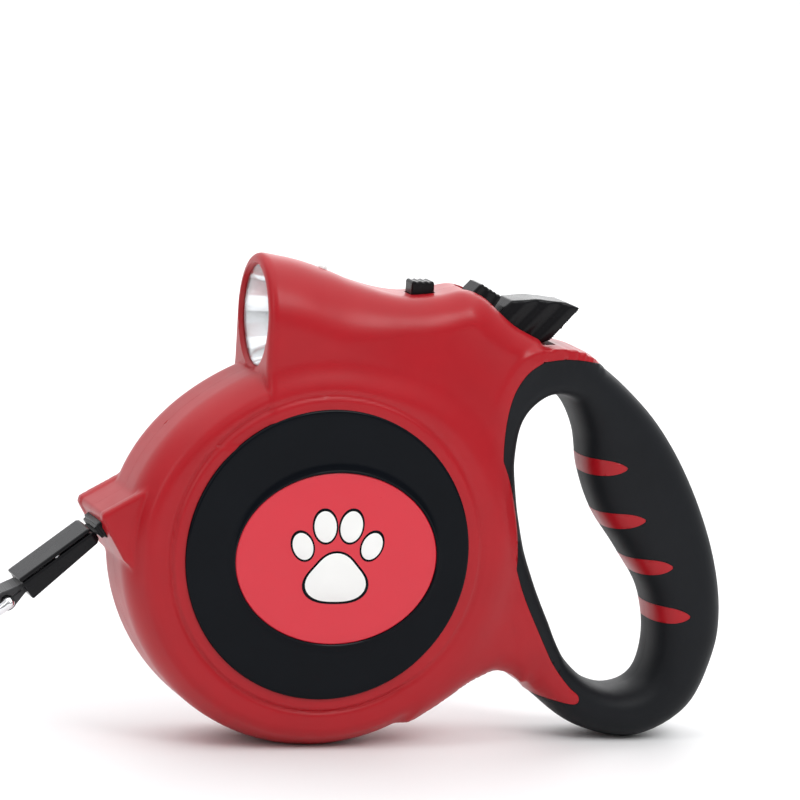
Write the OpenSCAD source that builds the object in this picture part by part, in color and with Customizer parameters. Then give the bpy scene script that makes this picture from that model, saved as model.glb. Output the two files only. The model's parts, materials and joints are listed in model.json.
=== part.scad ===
// Retractable tape leash with a built-in torch.
// +X points to the handle, -X to the nose that the tape leaves by, +Z up.
// The halves meet on the plane y = 0; the left half is at -Y.
// The origin is on the ground, straight under the reel axle.

/* [Reel casing] */
// Radius of the round reel casing
drum_r = 56; // [55.5:0.5:57]
// Half of the casing's thickness
half_t = 19.5; // [19.5:0.5:20.5]
// Thickness of the moulded walls
wall = 2.4; // [2:0.1:2.6]
// Rounding between the rim and the flat sides
edge_r = 12; // [11:0.5:13]
// Depth of the flat foot cut into the rim
foot_cut = 0.4; // [0.3:0.1:0.6]
// Half thickness of the web between the reel casing and the handle
web_t = 16; // [15:0.5:17]

/* [Side disc and badge] */
// Radius of the glossy side disc
disc_r = 40.8; // [39:0.2:41]
// How far the disc stands out of the casing
disc_proud = 1; // [0.5:0.1:1.2]
// Half width of the oval badge
badge_a = 29; // [26:0.5:30]
// Half height of the oval badge
badge_b = 24.1; // [22:0.1:25]

/* [Handle] */
// Depth of rubber over the handle core
grip_skin = 3.2; // [2.6:0.1:3.4]
// Half thickness of the handle core
core_t = 8.5; // [7.5:0.5:9]
// Width of the finger inlays at their roots
leaf_w = 5; // [4:0.5:6]

/* [Tape and reel] */
// Outer radius of the fully wound tape
coil_r = 42; // [41:0.5:42]
// Width of the tape
tape_w = 12; // [10:0.5:12]
// Thickness of the tape
tape_t = 0.8; // [0.6:0.1:0.8]
// Angle of the tape below the horizontal where it leaves the nose
tape_dip = 38.5; // [37:0.5:40]
// Radius of the reel axle
axle_r = 5; // [4:0.5:5]
// Number of brake teeth round the reel
teeth = 24; // [18:1:24]

/* [Connector and hook] */
// Length of the connector that stops the tape at the nose
conn_len = 24.5; // [20:0.5:26]
// Width of the connector
conn_w = 14; // [13:0.5:15]
// Radius of the hook's wire
wire_r = 2; // [1.6:0.1:2.2]
// Angle of the hook below the horizontal
hook_dip = 41; // [41:1:44]

/* [Torch] */
// Height of the torch axis above the ground
torch_z = 119.2; // [118.5:0.1:119.5]
// Outer radius of the torch housing
torch_r = 17.8; // [17:0.1:18]
// Radius of the hole in the torch mouth
mouth_r = 13.9; // [13:0.1:14.5]
// Distance of the torch mouth in front of the axle
mouth_x = 19.5; // [19:0.1:20]

/* [Hidden] */
$fn = 96;

red = "firebrick";
black = [0.09, 0.09, 0.1];
rubber = [0.16, 0.16, 0.17];
steel = "silver";
gap = 0.3;

// The axle's height leaves the foot's flat exactly on the ground.
reel_z = drum_r - foot_cut;

// ---- curves -------------------------------------------------------------
function cubic(a, b, c, d, t) =
    0.5 * (2 * b + (c - a) * t + (2 * a - 5 * b + 4 * c - d) * t * t
    + (3 * b - a - 3 * c + d) * t * t * t);
function near(p, i, closed) =
    closed ? p[(i + len(p)) % len(p)] : p[max(0, min(len(p) - 1, i))];
function smooth(p, n, closed = false) = [
    for (i = [0:len(p) - (closed ? 1 : 2)], j = [0:n - 1])
        cubic(near(p, i - 1, closed), p[i], near(p, i + 1, closed), near(p, i + 2, closed), j / n),
    if (!closed) p[len(p) - 1]
];
function flat2(v) = [v[0], v[1]];
function unit(v) = v / norm(v);
// An open curve moved sideways, to the right of its direction when d is positive.
function beside(p, d) = [
    for (i = [0:len(p) - 1])
        let (v = unit(near(p, i + 1, false) - near(p, i - 1, false))) p[i] + d * [v[1], -v[0]]
];
function polar(r, a) = [r * cos(a), reel_z + r * sin(a)];

// ---- placing ------------------------------------------------------------
// A flat outline in X and Z, given depth from y0 to y1.
module slab(y0, y1) {
    translate([0, y1, 0]) rotate([90, 0, 0]) linear_extrude(y1 - y0) children();
}
// A round bar along Y at (x, z).
module y_bar(at, r, y0, y1) {
    translate([at[0], y1, at[1]]) rotate([90, 0, 0]) cylinder(r = r, h = y1 - y0);
}
// A profile in radius and depth, turned about the reel axle; depth grows towards -Y.
module round_reel() {
    translate([0, 0, reel_z]) rotate([90, 0, 0]) rotate_extrude() children();
}
// A profile in radius and length, turned about the torch axis; length grows towards +X.
module round_torch(x) {
    translate([x, 0, torch_z]) rotate([0, 90, 0]) rotate_extrude() children();
}
// The tape's own frame: -X runs out along the tape, +Z away from the reel.
tangent = [-sin(tape_dip) * coil_r, reel_z + cos(tape_dip) * coil_r];
module on_tape() {
    translate([tangent[0], 0, tangent[1]]) rotate([0, -tape_dip, 0]) children();
}
// A box in the tape's frame, from s0 to s1 along it and w0 to w1 across it.
module tape_box(s0, s1, half_w, w0, w1) {
    on_tape() translate([-s1, -half_w, w0]) cube([s1 - s0, 2 * half_w, w1 - w0]);
}
module mirror_right() { mirror([0, 1, 0]) children(); }

// ---- outlines -----------------------------------------------------------
top_line = smooth([
    [-mouth_x, 137], [-8, 134.9], [1, 132.1], [8, 129.4], [16.5, 127], [24, 126],
    [32, 126.7], [39, 128], [44.5, 126.3], [49.5, 122.1], [54.5, 118.1], [61.5, 114.6]
], 4);
top_tip = smooth([[61.5, 114.6], [67, 112.4], [74, 110.5], [80, 108]], 3);
line_tip = smooth([[80, 108], [74, 109.3], [68, 109.8], [61.6, 109.1]], 3);
line_side = smooth([
    [61.6, 109.1], [56.5, 105.7], [52.5, 99], [50.6, 89], [50.6, 78], [52, 66.5],
    [55, 55], [59, 43.6], [64, 33.5]
], 4);
tongue = smooth([
    [64, 33.5], [69.7, 23.4], [75.5, 16.2], [78.6, 13.4], [77.9, 11], [72, 11.8], [66, 13.2]
], 4);
waist = smooth([
    [66, 13.2], [62.2, 16.8], [58.4, 19.6], [54, 20.7], [50.5, 19.8], [44, 21.5], [38, 26]
], 3);
// A thinner fin carries the waist's curve down to the rim.
waist_fin = [[30, 8.6], [36.4, 11.9], [44.3, 17], [50.5, 19.8], [54, 20.7], [54, 26], [34, 18]];
fin_t = 9;
// The web's outline closes through the reel casing, where it is hidden.
web_inside = [[34, 30], [0, 60], [-12, 92], [-mouth_x, 100]];
web_outline = concat(top_line, top_tip, line_tip, line_side, tongue, waist, web_inside);
web_cavity = concat(
    beside(top_line, wall), beside(line_side, wall), [[61.5, 28]], beside(waist, wall),
    [[34, 30], [0, 60], [-12, 92], [-mouth_x + wall, 100]]
);

// Stations round the hand-hole: a point on the hole's edge, the point across from it on the
// outside, the half thickness there, and 1 where the handle stands free or 0 beside the web.
grip_stations = [
    [60, 96.1, 58, 107.2, 14.5, 0], [66.5, 99.5, 68, 109.9, 14, 0],
    [72.7, 96.2, 80, 108, 13, 1], [77.2, 87.6, 94.4, 96.6, 13, 1],
    [79.2, 76.2, 104.8, 84.2, 13, 1], [83.9, 64.6, 113.2, 69.3, 13, 1],
    [92.2, 53.1, 119.4, 53.1, 13, 1], [99.7, 41.5, 122.3, 37.5, 13, 1],
    [102.4, 28.5, 121, 24, 13, 1], [100, 17.8, 113.8, 8.4, 12.5, 1],
    [92.5, 14.3, 98.5, 0.15, 12.5, 1], [84.2, 16.2, 82.5, 2.6, 12.5, 1],
    [77.8, 21.2, 71.5, 9.6, 12.5, 1], [72, 28.3, 64, 18, 13.5, 0.5],
    [67.5, 35.8, 62.5, 35, 14.5, 0], [62.2, 47.3, 57.8, 47.2, 14.5, 0],
    [57.9, 58.9, 53.9, 58.5, 14.5, 0], [55.4, 70.3, 51.5, 70.2, 14.5, 0],
    [54.5, 80, 50.5, 80.5, 14.5, 0], [56, 89.5, 51.3, 93.5, 14.5, 0]
];
grip_ring = smooth(grip_stations, 3, true);
function hole_at(v, d) = flat2(v) + d * unit([v[2] - v[0], v[3] - v[1]]);
function outer_at(v, d) = [v[2], v[3]] - d * unit([v[2] - v[0], v[3] - v[1]]);
function across(v) = norm([v[2] - v[0], v[3] - v[1]]);
// Free stretch of the handle, as indices into grip_ring.
free_first = 7;
free_last = 37;

// ---- the grip's rounded section, swept round the hand-hole -----------------------
section_n = 8;
boxiness = 2.6;
past_seam = 0.5;
function free_side(j) = (1 - cos(180 * j / section_n)) / 2;
function free_rise(j) = pow(max(0, 1 - pow(abs(cos(180 * j / section_n)), boxiness)), 1 / boxiness);
function web_side(j) = j * 2 < section_n ? 1 - cos(180 * j / section_n) : 1;
function web_rise(j) = j * 2 < section_n ? sin(180 * j / section_n) : 2 - 2 * j / section_n;
function grip_point(v, j) = let (
    s = v[5] * free_side(j) + (1 - v[5]) * web_side(j),
    h = v[5] * free_rise(j) + (1 - v[5]) * web_rise(j)
) [v[0] + (v[2] - v[0]) * s, h == 0 ? past_seam : -v[4] * h, v[1] + (v[3] - v[1]) * s];

module grip_solid() {
    m = section_n + 1;
    n = len(grip_ring);
    points = [for (v = grip_ring, j = [0:section_n]) grip_point(v, j)];
    faces = [
        for (i = [0:n - 1], j = [0:section_n])
            let (a = i * m + j, b = i * m + (j + 1) % m,
                c = ((i + 1) % n) * m + (j + 1) % m, d = ((i + 1) % n) * m + j)
                each [[a, b, c], [a, c, d]]
    ];
    intersection() {
        polyhedron(points, faces, convexity = 8);
        translate([0, -40, -10]) cube([200, 40, 200]);
    }
}
// The plastic core under the rubber: a ring round the hand-hole.
// Where the handle stands free it stops a skin's depth short of the outside, and beside the
// web it runs on into it.
function core_depth(v) = across(v) + 1 - (grip_skin + 1) * max(0, min(1, v[5]));
module core_outline() {
    difference() {
        polygon([for (v = grip_ring) hole_at(v, max(core_depth(v), grip_skin + wall))]);
        polygon([for (v = grip_ring) hole_at(v, grip_skin)]);
    }
}
module core_hollow_outline() {
    d = grip_skin + wall;
    span = [for (i = [free_first:free_last]) grip_ring[i]];
    polygon(concat(
        [for (v = span) hole_at(v, d)],
        [for (i = [len(span) - 1:-1:0]) hole_at(span[i], max(across(span[i]) - d, d + 0.6))]
    ));
}

// ---- fastening points -------------------------------------------------------
screw_at = [polar(50.2, 205), polar(50.2, 290), [27, 105.5], [53, 27.5], [94.5, 7.4], [106.5, 54]];
screw_head_y = [12.5, 12.5, 14, 14, 10.5, 10.5];
screw_r = 1.5;
screw_head_r = 2.8;
screw_head_h = 2;
screw_tip_y = -7;
boss_r = 3.1;

// ---- drum --------------------------------------------------------------------
module drum_profile(r, h, e) {
    square([r - e, h]);
    square([r, h - e]);
    intersection() {
        translate([r - e, h - e]) circle(r = e);
        translate([r - e, h - e]) square([e, e]);
    }
}
disc_floor = half_t - 1.2;
cavity_h = disc_floor - 1.8;
module drum_cavity() {
    difference() {
        round_reel() drum_profile(drum_r - wall, half_t - wall, edge_r - wall);
        // The wall is thicker behind the side disc's recess.
        y_bar([0, reel_z], disc_r + 3, -half_t, -cavity_h);
    }
}

// ---- torch housing -------------------------------------------------------------
torch_len = 7;
saddle_x = torch_len - 1;
saddle_top = 128.4;
saddle_r = 9;
grip_t = 13;
web_taper = [56, 72];
module torch_profile(d) {
    r = torch_r - d;
    circle(r = r);
    translate([0, -r]) square([22 - d, 2 * r]);
}
// The housing's section is drawn with +X down and extruded along the torch axis.
module torch_block(x0, x1, d) {
    translate([x0, 0, torch_z]) rotate([0, 90, 0]) linear_extrude(x1 - x0) torch_profile(d);
}

// The web's section, inset by d: full width below, with rounded shoulders on top. In front of
// the saddle it stops at the torch axis, and the torch housing gives the top.
module web_section(d) {
    half_w = web_t - d;
    flat = web_t - saddle_r;
    shoulder = saddle_top - saddle_r;
    translate([saddle_x, 0, 0]) rotate([90, 0, 90]) linear_extrude(100) {
        translate([-half_w, 0]) square([2 * half_w, shoulder]);
        translate([-flat, 0]) square([2 * flat, saddle_top - d]);
        for (y = [-flat, flat])
            translate([y, shoulder]) circle(r = saddle_r - d);
    }
    translate([-40, -half_w, 0]) cube([40 + saddle_x, 2 * half_w, torch_z]);
}
// The web narrows in plan towards the handle.
module web_plan(d) {
    linear_extrude(200) polygon([
        [-60, 20], [-60, d - web_t], [web_taper[0], d - web_t], [web_taper[1], d - grip_t],
        [100, d - grip_t], [100, 20]
    ]);
}
module web_body(d) {
    intersection() {
        slab(d - web_t, d == 0 ? 0 : 1) children();
        web_section(d);
        web_plan(d);
    }
}

// ---- nose ----------------------------------------------------------------------
nose_half_w = 14.5;
// Side view in the tape's frame: the tip, the face down from it, and the top back to the drum.
nose_outline = [
    [-43.2, 5.5], [-44.4, 4.2], [-46, -9], [-45.4, -13.4], [-26, -17.4], [-22, 0], [-27.6, 2.9]
];
module nose_block() {
    on_tape() translate([0, nose_half_w, 0]) rotate([90, 0, 0]) linear_extrude(2 * nose_half_w)
        polygon(nose_outline);
}
guide_start = 36;
guide_end = 46.6;
guide_half_w = 8;
guide_low = -3.4;
guide_high = 2.4;
tape_mid = -tape_t / 2;
slot_half_w = tape_w / 2 + 0.5;

// ---- controls on top -----------------------------------------------------------
slope = atan2(113.2 - 121, 66.8 - 49.1);
press_dir = [sin(slope), -cos(slope)];
brake_half_w = 6;
pawl_angle = 45;
// Radii between which two ribs guide the pawl.
guide_r = [55.5, 61.5];
lock_dir = unit([-8.3, 5.1]);
lock_top = 4.6;
torch_button_x = 28.3;
torch_button_half = 3.3;
module brake_outline() {
    polygon([
        [49.7, 120.4], [51.6, 123.1], [54, 125], [61, 125.6], [69.9, 124.7], [74.5, 123],
        [70.4, 118.4], [67.6, 114.4], [63, 113.1], [49.1, 119.2]
    ]);
}
// Room for the brake button over its whole travel.
module brake_well() {
    well = 6;
    a = [48.5, 121.2];
    b = [68.2, 112.6];
    slab(-brake_half_w - gap, brake_half_w + gap) polygon([
        a - well * press_dir, b - well * press_dir, b + press_dir, [61.2, 109.2],
        a + well * press_dir
    ]);
}
// The lock's own frame in X and Z: x along its travel, y out of the casing.
lock_at = [48.9, 122];
lock_half_w = 5;
lock_stem_half_w = 2.5;
lock_stem_low = -4;
module on_lock() {
    translate(lock_at) rotate(atan2(lock_dir[1], lock_dir[0])) mirror([0, 1]) children();
}
module lock_well() {
    slab(-lock_stem_half_w - gap, lock_stem_half_w + gap)
        on_lock() translate([0.2, lock_stem_low - 2]) square([11, 8]);
    slab(-lock_half_w - gap, lock_half_w + gap) on_lock() square([15, 8]);
}
module torch_button_well() {
    w = torch_button_half + gap;
    translate([torch_button_x - w, -w, 115]) cube([2 * w, 2 * w, 16]);
}

// ---- battery door ----------------------------------------------------------------
door_x = [8.5, 24];
door_z = [105, 118.5];
module door_outline(d) {
    translate([door_x[0] + d, door_z[0] + d])
        square([door_x[1] - door_x[0] - 2 * d, door_z[1] - door_z[0] - 2 * d]);
}
door_screw_at = [22, 107];

// ---- shells ------------------------------------------------------------------------
// One half of the casing and handle core as a solid, on the -Y side.
module half_outside() {
    intersection() {
        union() {
            round_reel() drum_profile(drum_r, half_t, edge_r);
            web_body(0) difference() {
                polygon(web_outline);
                polygon([for (v = grip_ring) hole_at(v, grip_skin)]);
            }
            slab(-fin_t, 0) polygon(waist_fin);
            intersection() {
                torch_block(-mouth_x, torch_len, 0);
                slab(-torch_r, 0) polygon(concat(top_line, web_inside));
            }
            nose_block();
            slab(-core_t, 0) core_outline();
        }
        translate([-100, -40, 0]) cube([300, 40, 200]);
    }
}
module half_hollow() {
    drum_cavity();
    web_body(wall) polygon(web_cavity);
    intersection() {
        torch_block(-mouth_x + wall, torch_len + 1, wall);
        slab(-torch_r, 1) polygon(concat(beside(top_line, wall), web_inside));
    }
    slab(-core_t + wall, 1) core_hollow_outline();
    translate([-mouth_x - 1, 0, torch_z]) rotate([0, 90, 0]) cylinder(r = mouth_r, h = 8);
    tape_box(2, guide_start + 1, slot_half_w, -2, 1);
    tape_box(guide_start, guide_end, guide_half_w, guide_low, guide_high);
    brake_well();
    lock_well();
    torch_button_well();
    translate([2.5, 0, 120]) cylinder(r = 1.3, h = 20);
    y_bar([0, reel_z], disc_r + 0.15, -half_t - 1, -disc_floor);
}
module half_bosses(left) {
    for (i = [0:len(screw_at) - 1])
        y_bar(screw_at[i], boss_r, -screw_head_y[i] - (left ? 0 : 0.8), 0);
    // Socket for the reel axle.
    y_bar([0, reel_z], axle_r + 3, -disc_floor + 0.1, left ? -12 : -15);
}
module pawl_guides() {
    for (side = [-1, 1])
        translate([0, -14, reel_z]) rotate([0, -pawl_angle, 0])
            translate([guide_r[0], 0, side * 3.1 - 0.8])
                cube([guide_r[1] - guide_r[0], 6.4, 1.6]);
}
// The detent spring's far end rests on this shelf.
detent_low = -5.1;
module detent_shelf() {
    slab(-nose_half_w, -1) on_lock() translate([8.6, detent_low - 1.3]) square([2, 1.3]);
}
module left_shell() {
    color(red) difference() {
        union() {
            difference() {
                half_outside();
                half_hollow();
            }
            intersection() {
                union() {
                    half_bosses(true);
                    pawl_guides();
                    detent_shelf();
                }
                half_outside();
            }
        }
        for (p = screw_at)
            y_bar(p, 1.2, screw_tip_y - 1, 1);
        y_bar([0, reel_z], axle_r, -disc_floor + 0.7, 1);
        torch_button_well();
        side_disc_pegs(1.65, 1);
    }
}
module right_shell() {
    color(red) mirror_right() difference() {
        union() {
            difference() {
                half_outside();
                half_hollow();
                slab(-web_t - 3, -web_t + wall + 3) door_outline(0);
            }
            intersection() {
                half_bosses(false);
                half_outside();
            }
            y_bar(door_screw_at, 2.6, -web_t + wall, -8);
        }
        for (i = [0:len(screw_at) - 1]) {
            y_bar(screw_at[i], screw_r + 0.15, -30, 1);
            y_bar(screw_at[i], screw_head_r + 0.2, -30, -screw_head_y[i] + screw_head_h);
        }
        y_bar([0, reel_z], axle_r, -disc_floor + 0.7, 1);
        y_bar(door_screw_at, 0.9, -web_t, -9);
        side_disc_pegs(1.65, 1);
    }
}

// ---- rubber grip ------------------------------------------------------------------
// Root on the hand-hole's edge, direction and length of each finger inlay.
leaves = [[77.2, 78.4, 2, 12], [84.4, 62.6, 7, 11.4], [94.4, 49.6, 5, 10.4], [100.3, 36.2, 0, 10.6]];
module leaf_outlines() {
    for (v = leaves)
        translate([v[0], v[1]]) rotate(v[2]) polygon(smooth([
            [v[3], 0], [v[3] * 0.55, leaf_w * 0.36], [1, leaf_w / 2], [-4, leaf_w / 2],
            [-4, -leaf_w / 2], [1, -leaf_w / 2], [v[3] * 0.55, -leaf_w * 0.36]
        ], 4, true));
}
leaf_y = [-14, -2.5];
module left_grip() {
    difference() {
        grip_solid();
        slab(-core_t, 1) core_outline();
        y_bar([0, reel_z], drum_r, -web_t - 1, 1);
        slab(-web_t - 1, 1) difference() {
            polygon(web_outline);
            polygon([for (v = grip_ring) hole_at(v, grip_skin)]);
        }
        slab(leaf_y[0], leaf_y[1]) leaf_outlines();
    }
}
module left_inlays() {
    difference() {
        intersection() {
            grip_solid();
            slab(leaf_y[0], leaf_y[1]) leaf_outlines();
        }
        slab(-core_t, 1) core_outline();
    }
}
module left_grip_overmould() { color(rubber) left_grip(); }
module right_grip_overmould() {
    color(rubber) difference() {
        mirror_right() left_grip();
        for (i = [4, 5])
            y_bar(screw_at[i], screw_head_r + 0.2, 0, 30);
    }
}
module left_finger_inlays() { color(red) left_inlays(); }
module right_finger_inlays() { color(red) mirror_right() left_inlays(); }

// ---- side discs and badges -----------------------------------------------------------
peg_angles = [90, 210, 330];
module side_disc_pegs(r, extra) {
    for (a = peg_angles)
        y_bar(polar(disc_r - 5, a), r, -disc_floor - 0.5, -disc_floor + 1.5 + extra);
}
badge_at = [2.4, 54.5];
badge_y = half_t + disc_proud - 0.5;
module oval(d) {
    n = 72;
    translate(badge_at) polygon([
        for (i = [0:n - 1]) [(badge_a - d) * cos(360 * i / n), (badge_b - d) * sin(360 * i / n)]
    ]);
}
module side_disc() {
    difference() {
        union() {
            round_reel() translate([0, disc_floor])
                drum_profile(disc_r, half_t + disc_proud - disc_floor, 1.2);
            side_disc_pegs(1.5, 0);
        }
        slab(-40, -badge_y + 0.9) oval(0);
    }
}
module badge() { slab(-badge_y, -badge_y + 0.9) oval(0.1); }
module left_side_disc() { color(black) side_disc(); }
module right_side_disc() { color(black) mirror_right() side_disc(); }
module left_badge() { color("crimson") badge(); }
module right_badge() { color("crimson") mirror_right() badge(); }

// ---- screws and axle -------------------------------------------------------------------
module casing_screws() {
    color(steel) for (i = [0:len(screw_at) - 1]) {
        y_bar(screw_at[i], screw_r, screw_tip_y, screw_head_y[i] - screw_head_h);
        difference() {
            y_bar(screw_at[i], screw_head_r, screw_head_y[i] - screw_head_h, screw_head_y[i]);
            for (a = [0, 90])
                translate([screw_at[i][0], screw_head_y[i], screw_at[i][1]]) rotate([0, a, 0])
                    translate([-1.7, -1.2, -0.35]) cube([3.4, 2, 0.7]);
        }
    }
}
module reel_axle() {
    color(steel) difference() {
        y_bar([0, reel_z], axle_r, -disc_floor + 0.7, disc_floor - 0.7);
        y_bar([0, reel_z], 1.7, -disc_floor, disc_floor);
        // Slot that holds the inner end of the mainspring.
        translate([-0.5, 8.5, reel_z]) cube([1, 6, axle_r + 1]);
    }
}

// ---- reel ---------------------------------------------------------------------------------
flange_r = 46;
flange_y = [tape_w / 2 + 0.5, tape_w / 2 + 2];
ratchet_y = flange_y[1] + 3;
root_r = 42.6;
cup_r = 36;
cup_y = [flange_y[1], 13.4];
core_r = 21;
run = 0.06;
module tooth_gap() {
    // Straight-sided gap between two brake teeth, open at the rim.
    half_gap = 5.8 / 2;
    translate([root_r, -half_gap]) square([6, 2 * half_gap]);
}
module reel_spool() {
    color("dimgray") difference() {
        union() {
            y_bar([0, reel_z], flange_r, -flange_y[1], -flange_y[0]);
            y_bar([0, reel_z], flange_r, flange_y[0], flange_y[1]);
            y_bar([0, reel_z], core_r, -flange_y[1], flange_y[1]);
            y_bar([0, reel_z], axle_r + 3, -ratchet_y, cup_y[0]);
            difference() {
                y_bar([0, reel_z], cup_r + 1.6, cup_y[0] - 0.5, cup_y[1]);
                y_bar([0, reel_z], cup_r, cup_y[0], cup_y[1] + 1);
            }
            difference() {
                y_bar([0, reel_z], flange_r, -ratchet_y, -flange_y[1]);
                y_bar([0, reel_z], root_r - 3, -ratchet_y - 1, -flange_y[1]);
                slab(-ratchet_y - 1, -flange_y[1])
                    for (i = [0:teeth - 1])
                        translate([0, reel_z]) rotate(pawl_angle + i * 360 / teeth) tooth_gap();
            }
        }
        // The core is moulded hollow between the hub and the tape.
        difference() {
            y_bar([0, reel_z], core_r - 2, -flange_y[1] - 1, flange_y[0] - 1);
            y_bar([0, reel_z], axle_r + 3, -40, 40);
        }
        y_bar([0, reel_z], axle_r + run, -40, 40);
    }
}
module spring_cup_cover() {
    color("dimgray") difference() {
        union() {
            y_bar([0, reel_z], cup_r + 1.6, cup_y[1], cup_y[1] + 0.6);
            y_bar([0, reel_z], cup_r - 4, cup_y[1], cup_y[1] + 1);
        }
        y_bar([0, reel_z], axle_r + run, 0, 20);
    }
}
module tape_coil() {
    color(black) difference() {
        y_bar([0, reel_z], coil_r, -tape_w / 2, tape_w / 2);
        y_bar([0, reel_z], core_r, -20, 20);
    }
}
// The flat spring's turns, close wound against the cup, with one turn running in to the hub.
spring_turns = 6;
spring_t = 0.5;
function spring_r(a) = axle_r + 0.9 + (cup_r - axle_r - 1.2) * a / (360 * spring_turns);
module mainspring() {
    steps = spring_turns * 30;
    line = [for (i = [0:steps]) let (a = i * 12) spring_r(a) * [cos(a), sin(a)]];
    color("slategray") slab(cup_y[0] + 0.3, cup_y[1] - 0.4) translate([0, reel_z]) polygon(concat(
        line, [for (i = [steps:-1:0]) line[i] * (1 - spring_t / norm(line[i]))]
    ));
}

// ---- tape, connector and strap loop ----------------------------------------------------------
conn_start = guide_end + 0.5;
conn_end = conn_start + conn_len;
loop_at = conn_end + 6;
module nose_guide() {
    color(black) difference() {
        union() {
            tape_box(guide_start, guide_end - 1, guide_half_w, guide_low, guide_high);
            tape_box(guide_end - 1, guide_end, guide_half_w - 0.6, guide_low + 0.6, guide_high - 0.6);
        }
        tape_box(guide_start - 1, guide_end + 1, slot_half_w, tape_mid - 0.9, tape_mid + 0.9);
    }
}
module leash_tape() {
    color(black) tape_box(10, conn_start + 8, tape_w / 2, -tape_t, 0);
}
// The connector deepens from nose end to hook end; its halves part just under the top face.
module connector_side(low, high) {
    on_tape() translate([0, conn_w / 2, 0]) rotate([90, 0, 0]) linear_extrude(conn_w)
        polygon([
            [-conn_start, low[0]], [-conn_start - 0.6, low[0] - 0.4], [-conn_end, low[1]],
            [-conn_end, high[1]], [-conn_start - 0.6, high[0]], [-conn_start, high[0] - 0.4]
        ]);
}
module connector_inside() {
    tape_box(conn_start - 1, conn_start + 8.3, tape_w / 2 + 0.2, -tape_t, 0);
    tape_box(conn_end - 8, conn_end + 1, 5.1, tape_mid - 1.4, tape_mid + 1.4);
}
module connector_bottom() {
    color(black) difference() {
        connector_side([-2.6, -4], [0.9, 1.6]);
        connector_inside();
        connector_rivet_bars(1.05);
    }
}
module connector_top() {
    color(black) difference() {
        connector_side([1.35, 1.65], [2.3, 3]);
        connector_inside();
        connector_rivet_bars(1.05);
    }
}
module connector_rivet_bars(r) {
    for (y = [-1, 1])
        on_tape() translate([-(conn_start + conn_end) / 2, y * (conn_w / 2 - 1.6), -1.6])
            cylinder(r = r, h = 3.3);
}
module connector_rivets() { color(steel) connector_rivet_bars(1.05); }
strap_half_w = 5;
strap_t = 1.1;
eye_wire_r = 1.4;
ply_gap = 0.3;
module circle_at_loop(r) { translate([-loop_at, 0]) circle(r = r); }
module hook_strap_loop() {
    inner = eye_wire_r + gap;
    outer = inner + strap_t;
    color(black) on_tape() translate([0, strap_half_w, tape_mid]) rotate([90, 0, 0])
        linear_extrude(2 * strap_half_w) {
            // Two plies run from inside the connector and part round the eye.
            difference() {
                union() {
                    circle_at_loop(outer);
                    polygon([
                        [-conn_end + 7.8, 1.35], [-conn_end - 0.4, 1.35], [-loop_at, outer],
                        [-loop_at, -outer], [-conn_end - 0.4, -1.35], [-conn_end + 7.8, -1.35]
                    ]);
                }
                circle_at_loop(inner);
                translate([-loop_at, -ply_gap / 2]) square([loop_at - conn_end - 1, ply_gap]);
            }
        }
}

// ---- swivel hook ---------------------------------------------------------------------------
eye_x = tangent[0] - loop_at * cos(tape_dip) - tape_mid * sin(tape_dip);
eye_z = tangent[1] - loop_at * sin(tape_dip) + tape_mid * cos(tape_dip);
// The hook's own frame: +Z runs along it from the eye to its tip, +X is its gate side.
module on_hook() {
    translate([eye_x, 0, eye_z]) rotate([0, -90 - hook_dip, 0]) children();
}
eye_r = 7.5;
barrel_z = [13.2, 30];
barrel_r = 3.6;
bolt_r = 2;
hook_z = 37.5;
gate_travel = 6.5;
bolt_z = [26.3, 34.3];
knob_z = 27.4;
gate_seat = 16.8;
// The swivel's boss spans boss_z, and the rivet's head bears under it.
boss_z = [5.4, 12.6];
rivet_r = 1.55;
rivet_head_h = 1;
module bar_z(x, r, z0, z1) { translate([x, 0, z0]) cylinder(r = r, h = z1 - z0); }
module swivel_eye() {
    color(steel) on_hook() difference() {
        union() {
            rotate([90, 0, 0]) translate([0, 0, -eye_r]) cylinder(r = eye_wire_r, h = 2 * eye_r);
            rotate([0, -90, 0]) rotate([0, 0, -90]) rotate_extrude(angle = 180)
                translate([eye_r, 0]) circle(r = eye_wire_r);
            for (y = [-eye_r, eye_r])
                translate([0, y, 0]) sphere(r = eye_wire_r);
            bar_z(0, 3.4, boss_z[0], boss_z[1]);
        }
        bar_z(0, rivet_r + 0.05, boss_z[0] - 1, boss_z[1] + 1);
    }
}
module swivel_rivet() {
    color(steel) on_hook() {
        bar_z(0, 2.7, boss_z[0] - gap - rivet_head_h, boss_z[0] - gap);
        bar_z(0, rivet_r, boss_z[0] - gap, 15.4);
    }
}
module hook_body() {
    color(steel) on_hook() difference() {
        union() {
            bar_z(0, barrel_r, barrel_z[0], barrel_z[1]);
            translate([-eye_r, 0, hook_z]) rotate([90, 0, 0]) rotate([0, 0, -16])
                rotate_extrude(angle = 276) translate([eye_r, 0]) circle(r = wire_r);
            translate([0, 0, hook_z + 0.6]) translate([-0.3, 0, -0.5]) sphere(r = wire_r + 0.4);
            hull() {
                translate([-2.6, 0, 26]) sphere(r = wire_r - 0.2, $fn = 24);
                translate([-eye_r - eye_r * sin(10) , 0, hook_z - eye_r * cos(10)])
                    sphere(r = wire_r - 0.1, $fn = 24);
            }
        }
        bar_z(0, bolt_r + 0.08, 16, 31);
        bar_z(0, rivet_r, 10, 16.5);
        // Slot that the bolt's thumb knob runs in.
        translate([0, -1.1, knob_z - gate_travel - 0.9]) cube([6, 2.2, gate_travel + 2.1]);
    }
}
module gate_bolt() {
    color(steel) on_hook() {
        bar_z(0, bolt_r, bolt_z[0], bolt_z[1]);
        translate([0, 0, knob_z]) rotate([0, 90, 0]) cylinder(r = 0.8, h = 5.4);
        translate([5, 0, knob_z]) rotate([0, 90, 0]) cylinder(r = 1.6, h = 1.4);
    }
}
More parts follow.
